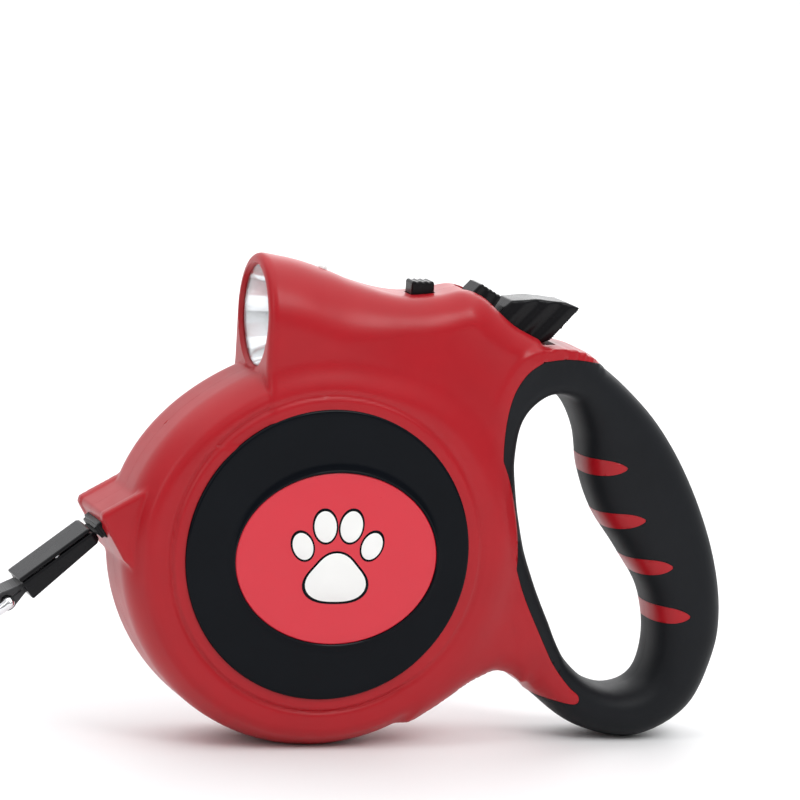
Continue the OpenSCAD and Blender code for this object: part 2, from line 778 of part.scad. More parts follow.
// A round-wire compression spring along +Z.
module coil_spring(r, wire, length, turns) {
    steps = 10;
    n = turns * steps;
    sides = 6;
    points = [
        for (i = [0:n], j = [0:sides - 1])
            let (a = i * 360 / steps, b = j * 360 / sides, q = r + wire * cos(b))
                [q * cos(a), q * sin(a), wire + (length - 2 * wire) * i / n + wire * sin(b)]
    ];
    faces = concat(
        [for (i = [0:n - 1], j = [0:sides - 1])
            let (a = i * sides + j, b = i * sides + (j + 1) % sides)
                each [[a, b, b + sides], [a, b + sides, a + sides]]],
        [[for (j = [sides - 1:-1:0]) j], [for (j = [0:sides - 1]) n * sides + j]]
    );
    polyhedron(points, faces, convexity = 8);
}
module gate_spring() {
    color(steel) on_hook() translate([0, 0, gate_seat])
        coil_spring(1.4, 0.25, bolt_z[0] - gate_seat - 0.2, 5);
}

// ---- brake ------------------------------------------------------------------------------------
stem_at = [54.2, 117];
module brake_button() {
    color(black) union() {
        difference() {
            slab(-brake_half_w, brake_half_w) brake_outline();
            // Flutes across the rear face, for the thumb.
            for (i = [-2:2])
                translate([70.4 + 1.2, i * 2.2, 118.2 - 1.4]) rotate([0, 38, 0])
                    cylinder(r = 0.75, h = 30, center = true);
        }
        // Stem that pushes the pawl.
        slab(-2.4, 2.4) translate(stem_at) rotate(slope) translate([-2.5, -10.6]) square([5, 12]);
    }
}
pawl_tip_r = flange_r + 0.8;
pawl_head_r = 71.2;
module brake_pawl() {
    color("dimgray") translate([0, 0, reel_z]) rotate([0, -pawl_angle, 0]) {
        translate([pawl_tip_r, -ratchet_y + 0.3, -1.8]) cube([pawl_head_r - pawl_tip_r, 2.4, 3.6]);
        translate([pawl_head_r - 3.4, -ratchet_y + 0.3, -2.6]) cube([3.4, ratchet_y + 2.1, 5.2]);
    }
}
module brake_spring() {
    length = pawl_head_r - 3.4 - guide_r[1];
    color(steel) translate([0, -ratchet_y + 1.5, reel_z]) rotate([0, -pawl_angle, 0])
        translate([guide_r[1], 0, 0]) rotate([0, 90, 0]) coil_spring(2.9, 0.3, length, 4);
}
module lock_slider() {
    color(black) {
        difference() {
            slab(-lock_half_w, lock_half_w) on_lock()
                polygon([[0.4, 0.35], [0.4, lock_top], [7.6, lock_top - 0.2], [8.4, 0.35]]);
            // Ribs on top, for the thumb.
            slab(-lock_half_w - 1, lock_half_w + 1) on_lock() for (i = [0:4])
                translate([1.2 + i * 1.4, lock_top + 0.15]) circle(r = 0.45);
        }
        slab(-lock_stem_half_w, lock_stem_half_w) on_lock()
            translate([1, lock_stem_low]) square([6.5, 1 - lock_stem_low]);
    }
}
module lock_detent_spring() {
    t = 0.3;
    top = detent_low + t;
    bump = lock_stem_low - t;
    color(steel) slab(-2.2, -1) on_lock() polygon([
        [0.8, top], [0.8, top + t], [4, bump], [7, top], [10.4, top], [10.4, detent_low],
        [7, detent_low], [4, bump - t]
    ]);
}

// ---- torch ------------------------------------------------------------------------------------
button_top = 129.8;
roof = 123.4;
module torch_button() {
    w = torch_button_half;
    color(black) {
        difference() {
            translate([torch_button_x - w, -w, 121.2]) cube([2 * w, 2 * w, button_top - 121.2]);
            for (i = [-1:1])
                translate([torch_button_x + i * 1.8, 0, button_top + 0.2]) rotate([90, 0, 0])
                    cylinder(r = 0.5, h = 12, center = true);
        }
    }
}
module torch_button_spring() {
    color(steel) translate([torch_button_x, 0, 118.9]) coil_spring(1.5, 0.25, 2.2, 3);
}
module torch_switch() {
    color("dimgray") {
        translate([torch_button_x - 4.5, -4, 112.6]) cube([9, 8, 6.2]);
        for (x = [-2.5, 2.5])
            translate([torch_button_x + x - 0.4, -1, 109.8]) cube([0.8, 2, 2.8]);
    }
}
lens_x = -mouth_x + wall;
reflector_len = 17;
reflector_n = 10;
function bowl_r(t) = 3.4 + 10.4 * sqrt(1 - t);
module torch_lens() {
    color([0.8, 0.9, 1, 0.4]) round_torch(lens_x) square([mouth_r + 1.1, 1]);
}
module torch_reflector() {
    skin = 0.8;
    steps = [for (i = [0:reflector_n]) i / reflector_n];
    color("gainsboro") round_torch(lens_x + 1) polygon(concat(
        [for (t = steps) [bowl_r(t), t * reflector_len]],
        [for (i = [reflector_n:-1:1]) [bowl_r(steps[i]) + skin, steps[i] * reflector_len]],
        [[bowl_r(0) + skin, skin], [mouth_r + 1.1, skin], [mouth_r + 1.1, 0]]
    ));
}
led_x = lens_x + 1 + reflector_len;
module led_board() { color("green") round_torch(led_x + 0.1) square([6.5, 1.2]); }
module torch_led() {
    color("ivory") {
        round_torch(led_x - 2.4) square([2.6, 2.5]);
        translate([led_x - 2.4, 0, torch_z]) sphere(r = 2.2);
    }
}
module power_lamp() {
    color("white") {
        translate([2.5, 0, 127.5]) cylinder(r = 1.3, h = 4.6);
        translate([2.5, 0, 132.1]) sphere(r = 1.3);
    }
}
cell_x = 4.4;
cell_len = 5.4;
cell_z = 112.6;
module battery_cells() {
    color(steel) for (i = [0:2])
        translate([cell_x + i * cell_len, 0, cell_z]) rotate([0, 90, 0]) union() {
            cylinder(r = 5.8, h = cell_len - 0.9);
            translate([0, 0, cell_len - 0.9]) cylinder(r = 4.6, h = 0.8);
        }
}
module battery_contacts() {
    color("goldenrod") {
        translate([cell_x - 0.6, -3, cell_z - 3]) cube([0.5, 6, 6]);
        translate([cell_x + 3 * cell_len + 0.1, -3, cell_z - 3]) cube([0.5, 6, 6]);
    }
}
module torch_wires() {
    for (y = [-2, 2])
        color(y > 0 ? "red" : black) translate([led_x + 1.4, y, 119.6]) rotate([0, 90, 0])
            cylinder(r = 0.6, h = torch_button_x - 4.6 - led_x - 1.4);
}
module battery_door() {
    color(red) mirror_right() difference() {
        slab(-web_t, -web_t + wall) door_outline(0.2);
        y_bar(door_screw_at, 1.2, -30, 0);
        y_bar(door_screw_at, 2.3, -30, -web_t + 1.2);
    }
}
module battery_door_screw() {
    color(steel) mirror_right() {
        y_bar(door_screw_at, 2.1, -web_t + 0.1, -web_t + 1.2);
        y_bar(door_screw_at, 1, -web_t + 1.2, -9.5);
    }
}

left_shell();
right_shell();
left_grip_overmould();
right_grip_overmould();
left_finger_inlays();
right_finger_inlays();
left_side_disc();
right_side_disc();
left_badge();
right_badge();
casing_screws();
reel_axle();
nose_guide();
reel_spool();
spring_cup_cover();
tape_coil();
mainspring();
leash_tape();
connector_top();
connector_bottom();
connector_rivets();
hook_strap_loop();
swivel_eye();
swivel_rivet();
hook_body();
gate_bolt();
gate_spring();
brake_button();
brake_pawl();
brake_spring();
lock_slider();
lock_detent_spring();
torch_button();
torch_button_spring();
torch_switch();
torch_reflector();
torch_lens();
torch_led();
led_board();
power_lamp();
battery_cells();
battery_contacts();
torch_wires();
battery_door();
battery_door_screw();
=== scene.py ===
"""Looks of the retractable tape leash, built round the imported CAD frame."""
import json
import math

import bmesh
import bpy
import numpy as np
from mathutils import Matrix, Vector


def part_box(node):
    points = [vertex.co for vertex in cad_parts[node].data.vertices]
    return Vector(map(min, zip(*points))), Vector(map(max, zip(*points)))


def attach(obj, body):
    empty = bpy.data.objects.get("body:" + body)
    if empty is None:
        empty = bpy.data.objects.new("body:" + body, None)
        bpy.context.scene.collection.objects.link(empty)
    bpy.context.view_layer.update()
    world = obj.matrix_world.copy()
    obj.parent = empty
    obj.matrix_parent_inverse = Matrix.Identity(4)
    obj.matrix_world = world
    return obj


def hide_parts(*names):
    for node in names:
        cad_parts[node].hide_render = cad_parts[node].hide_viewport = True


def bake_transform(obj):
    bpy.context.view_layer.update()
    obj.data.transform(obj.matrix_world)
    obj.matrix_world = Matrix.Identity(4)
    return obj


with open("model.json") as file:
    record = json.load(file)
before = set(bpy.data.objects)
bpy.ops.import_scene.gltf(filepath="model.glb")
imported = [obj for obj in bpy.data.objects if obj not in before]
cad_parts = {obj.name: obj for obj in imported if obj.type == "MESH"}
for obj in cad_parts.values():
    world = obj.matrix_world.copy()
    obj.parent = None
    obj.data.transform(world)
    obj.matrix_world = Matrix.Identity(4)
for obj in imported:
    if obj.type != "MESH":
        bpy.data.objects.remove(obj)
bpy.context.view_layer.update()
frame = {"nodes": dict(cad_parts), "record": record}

MM = 0.001

# ---- camera: the photograph's own angle ----------------------------------------------
CAMERA_AZIMUTH = math.radians(-18)
CAMERA_ELEVATION = math.radians(9)
CAMERA_ROLL = math.radians(3.4)
CAMERA_AT = Vector((-433.7, -1410.1, 330.6)) * MM
LENS_MM = 241.9


def make_camera():
    az, el = CAMERA_AZIMUTH, CAMERA_ELEVATION
    back = Vector((math.sin(az) * math.cos(el), -math.cos(az) * math.cos(el), math.sin(el)))
    level = Vector((math.cos(az), math.sin(az), 0))
    up = back.cross(level)
    right = level * math.cos(CAMERA_ROLL) + up * math.sin(CAMERA_ROLL)
    top = back.cross(right)
    data = bpy.data.cameras.new("camera")
    data.lens = LENS_MM
    data.clip_start = 0.05
    camera = bpy.data.objects.new("camera", data)
    turn = Matrix((right, top, back)).transposed().to_4x4()
    camera.matrix_world = Matrix.Translation(CAMERA_AT) @ turn
    bpy.context.scene.collection.objects.link(camera)
    bpy.context.scene.camera = camera


make_camera()

# ---- driving dimensions, millimetres -------------------------------------------------
DRUM_R = 56.0
REEL_Z = (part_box("reel_axle")[0].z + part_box("reel_axle")[1].z) / 2 / MM
FACE_Y = 19.5
RIM_HALF = 7.0
BARREL_DROP = 5.5
TOP_FLATTENING = 3.0
DISC_R = 40.8
DISC_FLOOR = 18.3
BAND_R = 43.6
WALL = 2.4
TORCH_Z = 119.2
TORCH_R = 17.8
MOUTH_R = 13.9
MOUTH_X = -19.5
SADDLE_T = 16.0
BACK_X = 122.25
TAPE_DIP = math.radians(38.5)
LENS_X = MOUTH_X + 1.1
BOWL_BACK = MOUTH_X + WALL + 18
COIL_R = 42.0
TANGENT = np.array([-math.sin(TAPE_DIP) * COIL_R, REEL_Z + math.cos(TAPE_DIP) * COIL_R])
SEAM = 0.03
SPLIT_GAP = 0.06
FACE_EDGE = 1.6
FRONT_EDGE = 2.6
SADDLE_FILLET = 5.0
GRIP_FILLET = 3.0
NOSE_FILLET = 0.9
PAWL_ANGLE = math.radians(45)

TOP_LINE = [(-42, 141.2), (-30, 139), (-19.5, 137), (-8, 134.9), (1, 132.1), (8, 129.4), (16.5, 127),
            (24, 126), (32, 126.7), (39, 128), (44.5, 126.3), (49.5, 122.1), (54.5, 118.1),
            (61.5, 114.6)]
LINE_TIP = [(80, 108), (74, 109.3), (68, 109.8), (61.6, 109.1)]
LINE_SIDE = [(61.6, 109.1), (56.5, 105.7), (52.5, 99), (50.6, 89), (50.6, 78), (52, 66.5),
             (55, 55), (59, 43.6), (64, 33.5)]
TONGUE = [(64, 33.5), (69.7, 23.4), (75.5, 16.2), (78.6, 13.4), (77.9, 11), (72, 11.8), (66, 13.2)]
WAIST = [(66, 13.2), (62.2, 16.8), (58.4, 19.6), (54, 20.7), (50.5, 19.8), (44.3, 17), (36.4, 11.9),
         (28, 7.4)]
# A point on the hand-hole's edge, the point across from it on the outside, the half thickness
# there, and 1 where the handle stands free or 0 beside the web.
STATIONS = [
    (60, 96.1, 58, 107.2, 14.5, 0), (66.5, 99.5, 68, 109.9, 14, 0), (72.7, 96.2, 80, 108, 13, 1),
    (77.2, 87.6, 94.4, 96.6, 13, 1), (79.2, 76.2, 104.8, 84.2, 13, 1),
    (83.9, 64.6, 113.2, 69.3, 13, 1), (92.2, 53.1, 119.4, 53.1, 13, 1),
    (99.7, 41.5, 122.3, 37.5, 13, 1), (102.4, 28.5, 121, 24, 13, 1),
    (100, 17.8, 113.8, 8.4, 12.5, 1), (92.5, 14.3, 98.5, 0.15, 12.5, 1),
    (84.2, 16.2, 82.5, 2.6, 12.5, 1), (77.8, 21.2, 71.5, 9.6, 12.5, 1),
    (72, 28.3, 64, 18, 13.5, 0.5), (67.5, 35.8, 62.5, 35, 14.5, 0),
    (62.2, 47.3, 57.8, 47.2, 14.5, 0), (57.9, 58.9, 53.9, 58.5, 14.5, 0),
    (55.4, 70.3, 51.5, 70.2, 14.5, 0), (54.5, 80, 50.5, 80.5, 14.5, 0),
    (56, 89.5, 51.3, 93.5, 14.5, 0),
]
LEAVES = [(77.2, 78.4, 2, 12), (84.4, 62.6, 7, 11.4), (94.4, 49.6, 5, 10.4), (100.3, 36.2, 0, 10.6)]
LEAF_HALF = 2.5


# ---- curves and flat distance fields -------------------------------------------------
def smooth(points, steps, closed=False):
    """A Catmull-Rom curve through the points."""
    p = np.asarray(points, float)
    n = len(p)

    def at(i):
        return p[i % n] if closed else p[min(max(i, 0), n - 1)]

    out = []
    for i in range(n if closed else n - 1):
        a, b, c, d = at(i - 1), at(i), at(i + 1), at(i + 2)
        for t in np.arange(steps) / steps:
            out.append(0.5 * (2 * b + (c - a) * t + (2 * a - 5 * b + 4 * c - d) * t**2
                              + (3 * b - a - 3 * c + d) * t**3))
    if not closed:
        out.append(p[-1])
    return np.array(out)


def nearest(px, pz, loop, extra=None):
    """Signed distance to a closed outline, negative inside, and extra values at the nearest point."""
    best = np.full(px.shape, 1e18)
    inside = np.zeros(px.shape, bool)
    carried = None if extra is None else np.zeros(px.shape + (extra.shape[1],))
    n = len(loop)
    for i in range(n):
        a, b = loop[i], loop[(i + 1) % n]
        e = b - a
        wx, wz = px - a[0], pz - a[1]
        t = np.clip((wx * e[0] + wz * e[1]) / max(e @ e, 1e-12), 0, 1)
        d = (wx - t * e[0]) ** 2 + (wz - t * e[1]) ** 2
        closer = d < best
        best = np.where(closer, d, best)
        if extra is not None:
            value = extra[i] + t[..., None] * (extra[(i + 1) % n] - extra[i])
            carried = np.where(closer[..., None], value, carried)
        if a[1] != b[1]:
            crosses = ((a[1] > pz) != (b[1] > pz)) & (px < a[0] + (pz - a[1]) / (b[1] - a[1]) * e[0])
            inside ^= crosses
    d = np.sqrt(best)
    return np.where(inside, -d, d), carried


class Flat:
    """Values on a grid in X and Z, read back anywhere by cubic interpolation."""
    X0, Z0, NX, NZ, STEP = -70.0, -8.0, 401, 305, 0.5

    def __init__(self, values):
        self.v = values

    @classmethod
    def grid(cls):
        x = cls.X0 + cls.STEP * np.arange(cls.NX)
        z = cls.Z0 + cls.STEP * np.arange(cls.NZ)
        return np.meshgrid(x, z, indexing="ij")

    def __call__(self, x, z):
        u = np.clip((x - self.X0) / self.STEP, 1.001, self.NX - 2.001)
        w = np.clip((z - self.Z0) / self.STEP, 1.001, self.NZ - 2.001)
        i, j = u.astype(int), w.astype(int)
        total = 0
        for a, ca in enumerate(cubic_weights(u - i)):
            for b, cb in enumerate(cubic_weights(w - j)):
                total = total + ca * cb * self.v[i + a - 1, j + b - 1]
        return total


def cubic_weights(t):
    """Cubic B-spline weights, which also soften a distance field's creases."""
    return ((1 - t) ** 3 / 6, (3 * t**3 - 6 * t**2 + 4) / 6,
            (-3 * t**3 + 3 * t**2 + 3 * t + 1) / 6, t**3 / 6)


def flat_of(points):
    gx, gz = Flat.grid()
    return Flat(nearest(gx, gz, points)[0])


def step_up(v, a, b):
    t = np.clip((v - a) / (b - a), 0, 1)
    return t * t * (3 - 2 * t)


def mix(a, b, t):
    return a + (b - a) * t


def round_both(a, b, r):
    """Where both a and b are negative, with the edge between them rounded to radius r."""
    return (np.minimum(np.maximum(a, b) + r, 0)
            + np.hypot(np.maximum(a + r, 0), np.maximum(b + r, 0)) - r)


def join(a, b, k):
    """Union of a and b with a fillet about k deep between them."""
    h = np.clip(0.5 + 0.5 * (b - a) / k, 0, 1)
    return mix(b, a, h) - k * h * (1 - h)


# Points deep inside the reel casing, which close the web's outline.
INSIDE = [(20, 30), (0, 50), (-30, 60), (-42, 80)]
top_line, line_tip = smooth(TOP_LINE, 6), smooth(LINE_TIP, 5)
line_side, tongue, waist = smooth(LINE_SIDE, 6), smooth(TONGUE, 6), smooth(WAIST, 5)
# The red's limit passes above the top line, so the handle's crown is red as far as its tip.
RED_TOP = [(-42, 150), (40, 137), (55, 126), (62, 121), (69, 118), (76, 114.6), (81.4, 109.8)]
red_loop = np.concatenate([np.array(RED_TOP, float), line_tip, line_side[1:], tongue[1:],
                           waist[1:], np.array(INSIDE, float)])
# The saddle's solid runs on under the handle's crown, where the rubber takes over.
HIDDEN_SIDE = [(61.5, 114.6), (63, 108), (58, 101), (55.5, 92), (55, 80), (56, 67), (59, 55),
               (63.5, 43.6), (68, 34), (70, 26), (66, 20), (62.2, 16.8)]
web_loop = np.concatenate([top_line, np.array(HIDDEN_SIDE[1:], float), waist[6:],
                           np.array(INSIDE, float)])
ring = smooth(STATIONS, 6, closed=True)
hole_loop, outer_loop = ring[:, :2], ring[:, 2:4]
gx, gz = Flat.grid()
hole_d, carried = nearest(gx, gz, hole_loop, ring[:, 4:6])
HOLE = Flat(hole_d)
GRIP_HALF = Flat(carried[..., 0])
FREE = Flat(np.clip(carried[..., 1], 0, 1))
OUTER = flat_of(outer_loop)
RED = flat_of(red_loop)
WEB = flat_of(web_loop)


def leaf_loop(x, z, turn, length):
    half = [(length, 0), (length * 0.8, LEAF_HALF * 0.55), (length * 0.5, LEAF_HALF * 0.9),
            (1, LEAF_HALF), (-5, LEAF_HALF)]
    outline = smooth(half[:4], 4).tolist() + [half[4]]
    outline += [(a, -b) for a, b in reversed(outline[1:])]
    c, s = math.cos(math.radians(turn)), math.sin(math.radians(turn))
    return np.array([(x + a * c - b * s, z + a * s + b * c) for a, b in outline])


leaf_d = None
for leaf in LEAVES:
    d = nearest(gx, gz, leaf_loop(*leaf))[0]
    leaf_d = d if leaf_d is None else np.minimum(leaf_d, d)
LEAF = Flat(leaf_d)


# ---- the casing's form, for points at |y| = q ----------------------------------------
def drum(x, q, z):
    r = np.hypot(x, z - REEL_Z)
    turn = np.degrees(np.arctan2(z - REEL_Z, x))
    flattening = step_up(turn, 40, 80) * (1 - step_up(turn, 118, 172))
    u = np.clip((q - RIM_HALF) / (FACE_Y - RIM_HALF), 0, 1.25)
    barrel_r = DRUM_R - TOP_FLATTENING * flattening - BARREL_DROP * u * u
    barrel = (r - barrel_r) * np.sqrt(1 / (1 + (0.7 * u) ** 2))
    # The face has a low raised band round the side disc, with a groove at its edge.
    face = FACE_Y - 0.55 * step_up(r, BAND_R - 0.2, BAND_R + 0.9)
    face = face - 0.5 * np.exp(-((r - BAND_R - 0.9) / 0.7) ** 2)
    return np.maximum(round_both(barrel, q - face, FACE_EDGE), -z)


def saddle(x, q, z):
    lift = step_up(x, -4, 24)
    half = mix(TORCH_R, SADDLE_T, lift)
    half = mix(half, 14.2, step_up(x, 40, 66))
    near_drum = 1 - step_up(np.hypot(x, z - REEL_Z), 50, 74)
    half = half + 2.2 * near_drum * lift
    low = 1 - step_up(z, 15, 45)
    edge = mix(mix(TORCH_R, 9.5, lift), 6.5, np.maximum(step_up(x, 42, 60), low))
    edge = np.minimum(edge, half)
    return round_both(WEB(x, z), q - half, edge)


def handle(x, q, z):
    hole, outer = HOLE(x, z), OUTER(x, z)
    half = GRIP_HALF(x, z)
    free = FREE(x, z)
    width = np.maximum((hole - outer) / 2, 2.0)
    across = (hole + outer) / 2
    power = 2.5
    size = (np.abs(across / width) ** power + (q / half) ** power) ** (1 / power)
    swept = (size - 1) * np.minimum(width, half)
    beside = round_both(-hole, q - half, 3.6)
    return swept, np.maximum(beside, outer - 3.0), free


def whole_form(x, q, z):
    swept, beside, free = handle(x, q, z)
    reel_case = drum(x, q, z)
    body = join(reel_case, saddle(x, q, z), SADDLE_FILLET)
    # Above the drum, the torch housing ends at its mouth.
    front = MOUTH_X - x
    body = round_both(body, np.where(z > REEL_Z + 30, front, front - 60), FRONT_EDGE)
    body = np.minimum(body, reel_case)
    return join(body, mix(beside, swept, free), GRIP_FILLET)


# ---- meshing: surface nets, then each vertex is pulled onto the surfaces it lies on ----
CORNERS = np.array([(i, j, k) for i in (0, 1) for j in (0, 1) for k in (0, 1)])
EDGES = [(a, b) for a in range(8) for b in range(a + 1, 8)
         if np.abs(CORNERS[a] - CORNERS[b]).sum() == 1]


def solid_mesh(name, fields, low, high, step):
    """A mesh of the space where every field is negative, at x, y, z in millimetres."""
    axes = [np.arange(low[i], high[i] + step, step) for i in range(3)]
    x, y, z = np.meshgrid(*axes, indexing="ij", sparse=True)
    shape = tuple(len(a) for a in axes)
    value = np.full(shape, -1e9)
    for field in fields:
        value = np.maximum(value, np.broadcast_to(field(x, y, z), shape))
    inside = value < 0
    cells = tuple(n - 1 for n in shape)
    count = np.zeros(cells, np.uint8)
    for i, j, k in CORNERS:
        count += inside[i:i + cells[0], j:j + cells[1], k:k + cells[2]]
    active = np.argwhere((count > 0) & (count < 8))
    number = np.full(cells, -1, np.int64)
    number[tuple(active.T)] = np.arange(len(active))
    corner = np.stack([value[tuple((active + c).T)] for c in CORNERS], 1)
    total, hits = np.zeros((len(active), 3)), np.zeros((len(active), 1))
    for a, b in EDGES:
        va, vb = corner[:, a], corner[:, b]
        crossing = (va < 0) != (vb < 0)
        t = np.where(crossing, va / np.where(crossing, va - vb, 1), 0)[:, None]
        point = CORNERS[a] + t * (CORNERS[b] - CORNERS[a])
        total += point * crossing[:, None]
        hits += crossing[:, None]
    verts = np.array(low) + (active + total / hits) * step
    faces = net_faces(inside, number)
    verts = settle(verts, fields, step)
    return object_from(name, verts * MM, faces)


def net_faces(inside, number):
    quads = []
    for axis in range(3):
        first = [slice(None)] * 3
        second = [slice(None)] * 3
        first[axis], second[axis] = slice(None, -1), slice(1, None)
        a, b = inside[tuple(first)], inside[tuple(second)]
        u, v = [i for i in range(3) if i != axis]
        at = np.argwhere(a != b)
        ok = (at[:, u] > 0) & (at[:, v] > 0)
        ok &= (at[:, u] < number.shape[u]) & (at[:, v] < number.shape[v])
        at = at[ok]
        outward = a[tuple(at.T)]
        around = []
        for du, dv in ((0, 0), (-1, 0), (-1, -1), (0, -1)):
            c = at.copy()
            c[:, u] += du
            c[:, v] += dv
            around.append(number[tuple(c.T)])
        quad = np.stack(around, 1)
        flip = outward if axis != 1 else ~outward
        quad[flip] = quad[flip][:, ::-1]
        quads.append(quad)
    quads = np.concatenate(quads)
    return quads[(quads >= 0).all(1)][:, ::-1]


def settle(verts, fields, step, rounds=4):
    """Newton steps onto each surface within reach, so that edges between surfaces come out sharp."""
    p = verts.copy()
    e = 0.05
    for _ in range(rounds):
        values = [np.broadcast_to(f(*p.T), (len(p),)) for f in fields]
        top = np.max(values, axis=0)
        for f, v0 in zip(fields, values):
            near = (v0 > top - 0.6 * step) & (np.abs(v0) < 1.5 * step)
            if not near.any():
                continue
            q = p[near]
            v = np.broadcast_to(f(*q.T), (len(q),))
            grad = np.empty_like(q)
            for i in range(3):
                d = np.zeros(3)
                d[i] = e
                grad[:, i] = (f(*(q + d).T) - f(*(q - d).T)) / (2 * e)
            size = np.maximum((grad**2).sum(1), 0.05)
            move = -(v / size)[:, None] * grad
            reach = np.linalg.norm(move, axis=1, keepdims=True)
            p[near] = q + move * np.minimum(1, 0.6 * step / np.maximum(reach, 1e-9))
    return p


def object_from(name, verts, faces):
    mesh = bpy.data.meshes.new(name)
    mesh.vertices.add(len(verts))
    mesh.vertices.foreach_set("co", np.asarray(verts, np.float32).ravel())
    mesh.loops.add(len(faces) * 4)
    mesh.loops.foreach_set("vertex_index", np.asarray(faces, np.int32).ravel())
    mesh.polygons.add(len(faces))
    mesh.polygons.foreach_set("loop_start", np.arange(len(faces), dtype=np.int32) * 4)
    mesh.update(calc_edges=True)
    mesh.validate()
    return linked(name, mesh)


def linked(name, data):
    obj = bpy.data.objects.new(name, data)
    bpy.context.scene.collection.objects.link(obj)
    return obj


def bridge(bm, loops):
    """Quads between each loop of vertices and the next, and a cap at each end."""
    for a, b in zip(loops, loops[1:]):
        for i in range(len(a)):
            j = (i + 1) % len(a)
            bm.faces.new((a[i], a[j], b[j], b[i]))
    bm.faces.new(loops[0][::-1])
    bm.faces.new(loops[-1])


def from_bmesh(name, bm):
    bmesh.ops.recalc_face_normals(bm, faces=bm.faces)
    mesh = bpy.data.meshes.new(name)
    bm.to_mesh(mesh)
    bm.free()
    return linked(name, mesh)


def shade(obj, angle=40):
    """Smooth shading, with edges sharper than the angle kept crisp."""
    mesh = obj.data
    mesh.polygons.foreach_set("use_smooth", [True] * len(mesh.polygons))
    mesh.set_sharp_from_angle(angle=math.radians(angle))
    return obj


# ---- the casing halves and the rubber as fields --------------------------------------
def seam(x, y, z):
    return y + SEAM


def red_area(x, z):
    # The red takes in the whole reel casing, and the nose in front of it.
    return np.minimum(RED(x, z), np.hypot(x, z - REEL_Z) - np.where(x < -40, 72, DRUM_R + 0.6))


def red_side(x, y, z):
    return red_area(x, z) + SPLIT_GAP


def black_side(x, y, z):
    return SPLIT_GAP - red_area(x, z)


def form(x, y, z):
    # It stands flat on the floor, and the handle's back keeps to the CAD model's own limit.
    limits = np.maximum(0.02 - z, x - BACK_X)
    return np.maximum(whole_form(x, np.abs(y), z), limits)


def on_tape(x, z):
    dx, dz = x - TANGENT[0], z - TANGENT[1]
    return (-(dx * math.cos(TAPE_DIP) + dz * math.sin(TAPE_DIP)),
            -dx * math.sin(TAPE_DIP) + dz * math.cos(TAPE_DIP))


def outline_field(points):
    """The flat distance to an outline in X and Z, from its own corners."""
    loop = np.array(points, float)
    return lambda x, z: nearest(x + 0 * z, z + 0 * x, loop)[0]


# The nose's side view in the tape's frame, drawn inside its rounded edges.
NOSE_EDGE = 0.8
nose_side = outline_field([(42.7, 4.5), (43.5, 3.7), (45.2, -9), (44.6, -12.6), (26.5, -16.3),
                           (22.9, 0), (27.8, 2.1)])


def nose(x, y, z):
    """The nose block, with a shallow channel along its top between two raised edges."""
    s, w = on_tape(x, z)
    profile = nose_side(s, w) - NOSE_EDGE
    channel = 0.4 * (1 - step_up(np.abs(y), 10.4, 11.6)) * step_up(w, 0.5, 1.5)
    return round_both(profile + channel, np.abs(y) - 14.5, NOSE_EDGE)


def casing_form(x, y, z):
    return join(form(x, y, z), nose(x, y, z), NOSE_FILLET)


def outside_of(field):
    return lambda x, y, z: -field(x, y, z)


def torch_bore(x, y, z):
    r = np.hypot(y, z - TORCH_Z)
    flare = 0.9 * np.clip((MOUTH_X + 1.2 - x) / 1.2, 0, 1)
    narrowing = MOUTH_R * np.sqrt(np.clip(1 - (x - BOWL_BACK + 15) / 19, 0.02, 1))
    bore = np.maximum(r - np.minimum(MOUTH_R, narrowing) - flare, x - BOWL_BACK - 3)
    return np.maximum(bore, MOUTH_X - 0.8 - x)


def disc_recess(x, y, z):
    return np.maximum(np.hypot(x, z - REEL_Z) - DISC_R + 1.3, y + DISC_FLOOR)


def guide_slot(x, y, z):
    s, w = on_tape(x, z)
    seat = np.maximum(np.maximum(np.abs(y) - 7.6, np.maximum(w - 2.0, -3.0 - w)), 35.7 - s)
    tape_way = np.maximum(np.maximum(np.abs(y) - 6.5, np.maximum(w - 0.6, -1.4 - w)), 27 - s)
    return np.minimum(seat, tape_way)


def box_field(lo, hi):
    def field(x, y, z):
        parts = [np.maximum(lo[i] - v, v - hi[i]) for i, v in enumerate((x, y, z))]
        return np.maximum(np.maximum(parts[0], parts[1]), parts[2])
    return field


torch_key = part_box("torch_button")
torch_key_well = box_field((torch_key[0].x / MM - 0.3, torch_key[0].y / MM - 0.3, 119),
                           (torch_key[1].x / MM + 0.3, torch_key[1].y / MM + 0.3, 140))
BRAKE_SLOPE = math.atan2(113.2 - 121, 66.8 - 49.1)
LOCK = np.array([-8.3, 5.1]) / math.hypot(8.3, 5.1)
LOCK_AT = np.array([48.9, 122.0])


def tilted_box(at, along, a0, a1, b0, b1, half):
    """A box in X and Z along a direction, with b measured out of the casing."""
    out = np.array([along[1], -along[0]])
    if out[1] < 0:
        out = -out

    def field(x, y, z):
        a = (x - at[0]) * along[0] + (z - at[1]) * along[1]
        b = (x - at[0]) * out[0] + (z - at[1]) * out[1]
        return np.maximum(np.maximum(np.maximum(a0 - a, a - a1), np.maximum(b0 - b, b - b1)),
                          np.abs(y) - half)
    return field


ALONG_SLOPE = np.array([math.cos(BRAKE_SLOPE), math.sin(BRAKE_SLOPE)])
brake_room = outline_field([(50.9, 126.7), (70.4, 119.2), (68, 114.5), (66.5, 110.9), (61.2, 109.2),
                            (46.1, 115.7)])


def brake_well(x, y, z):
    return np.maximum(brake_room(x, z), np.abs(y) - 6.35)


lock_well = tilted_box(LOCK_AT, LOCK, -0.2, 14, 0.1, 9, 5.3)
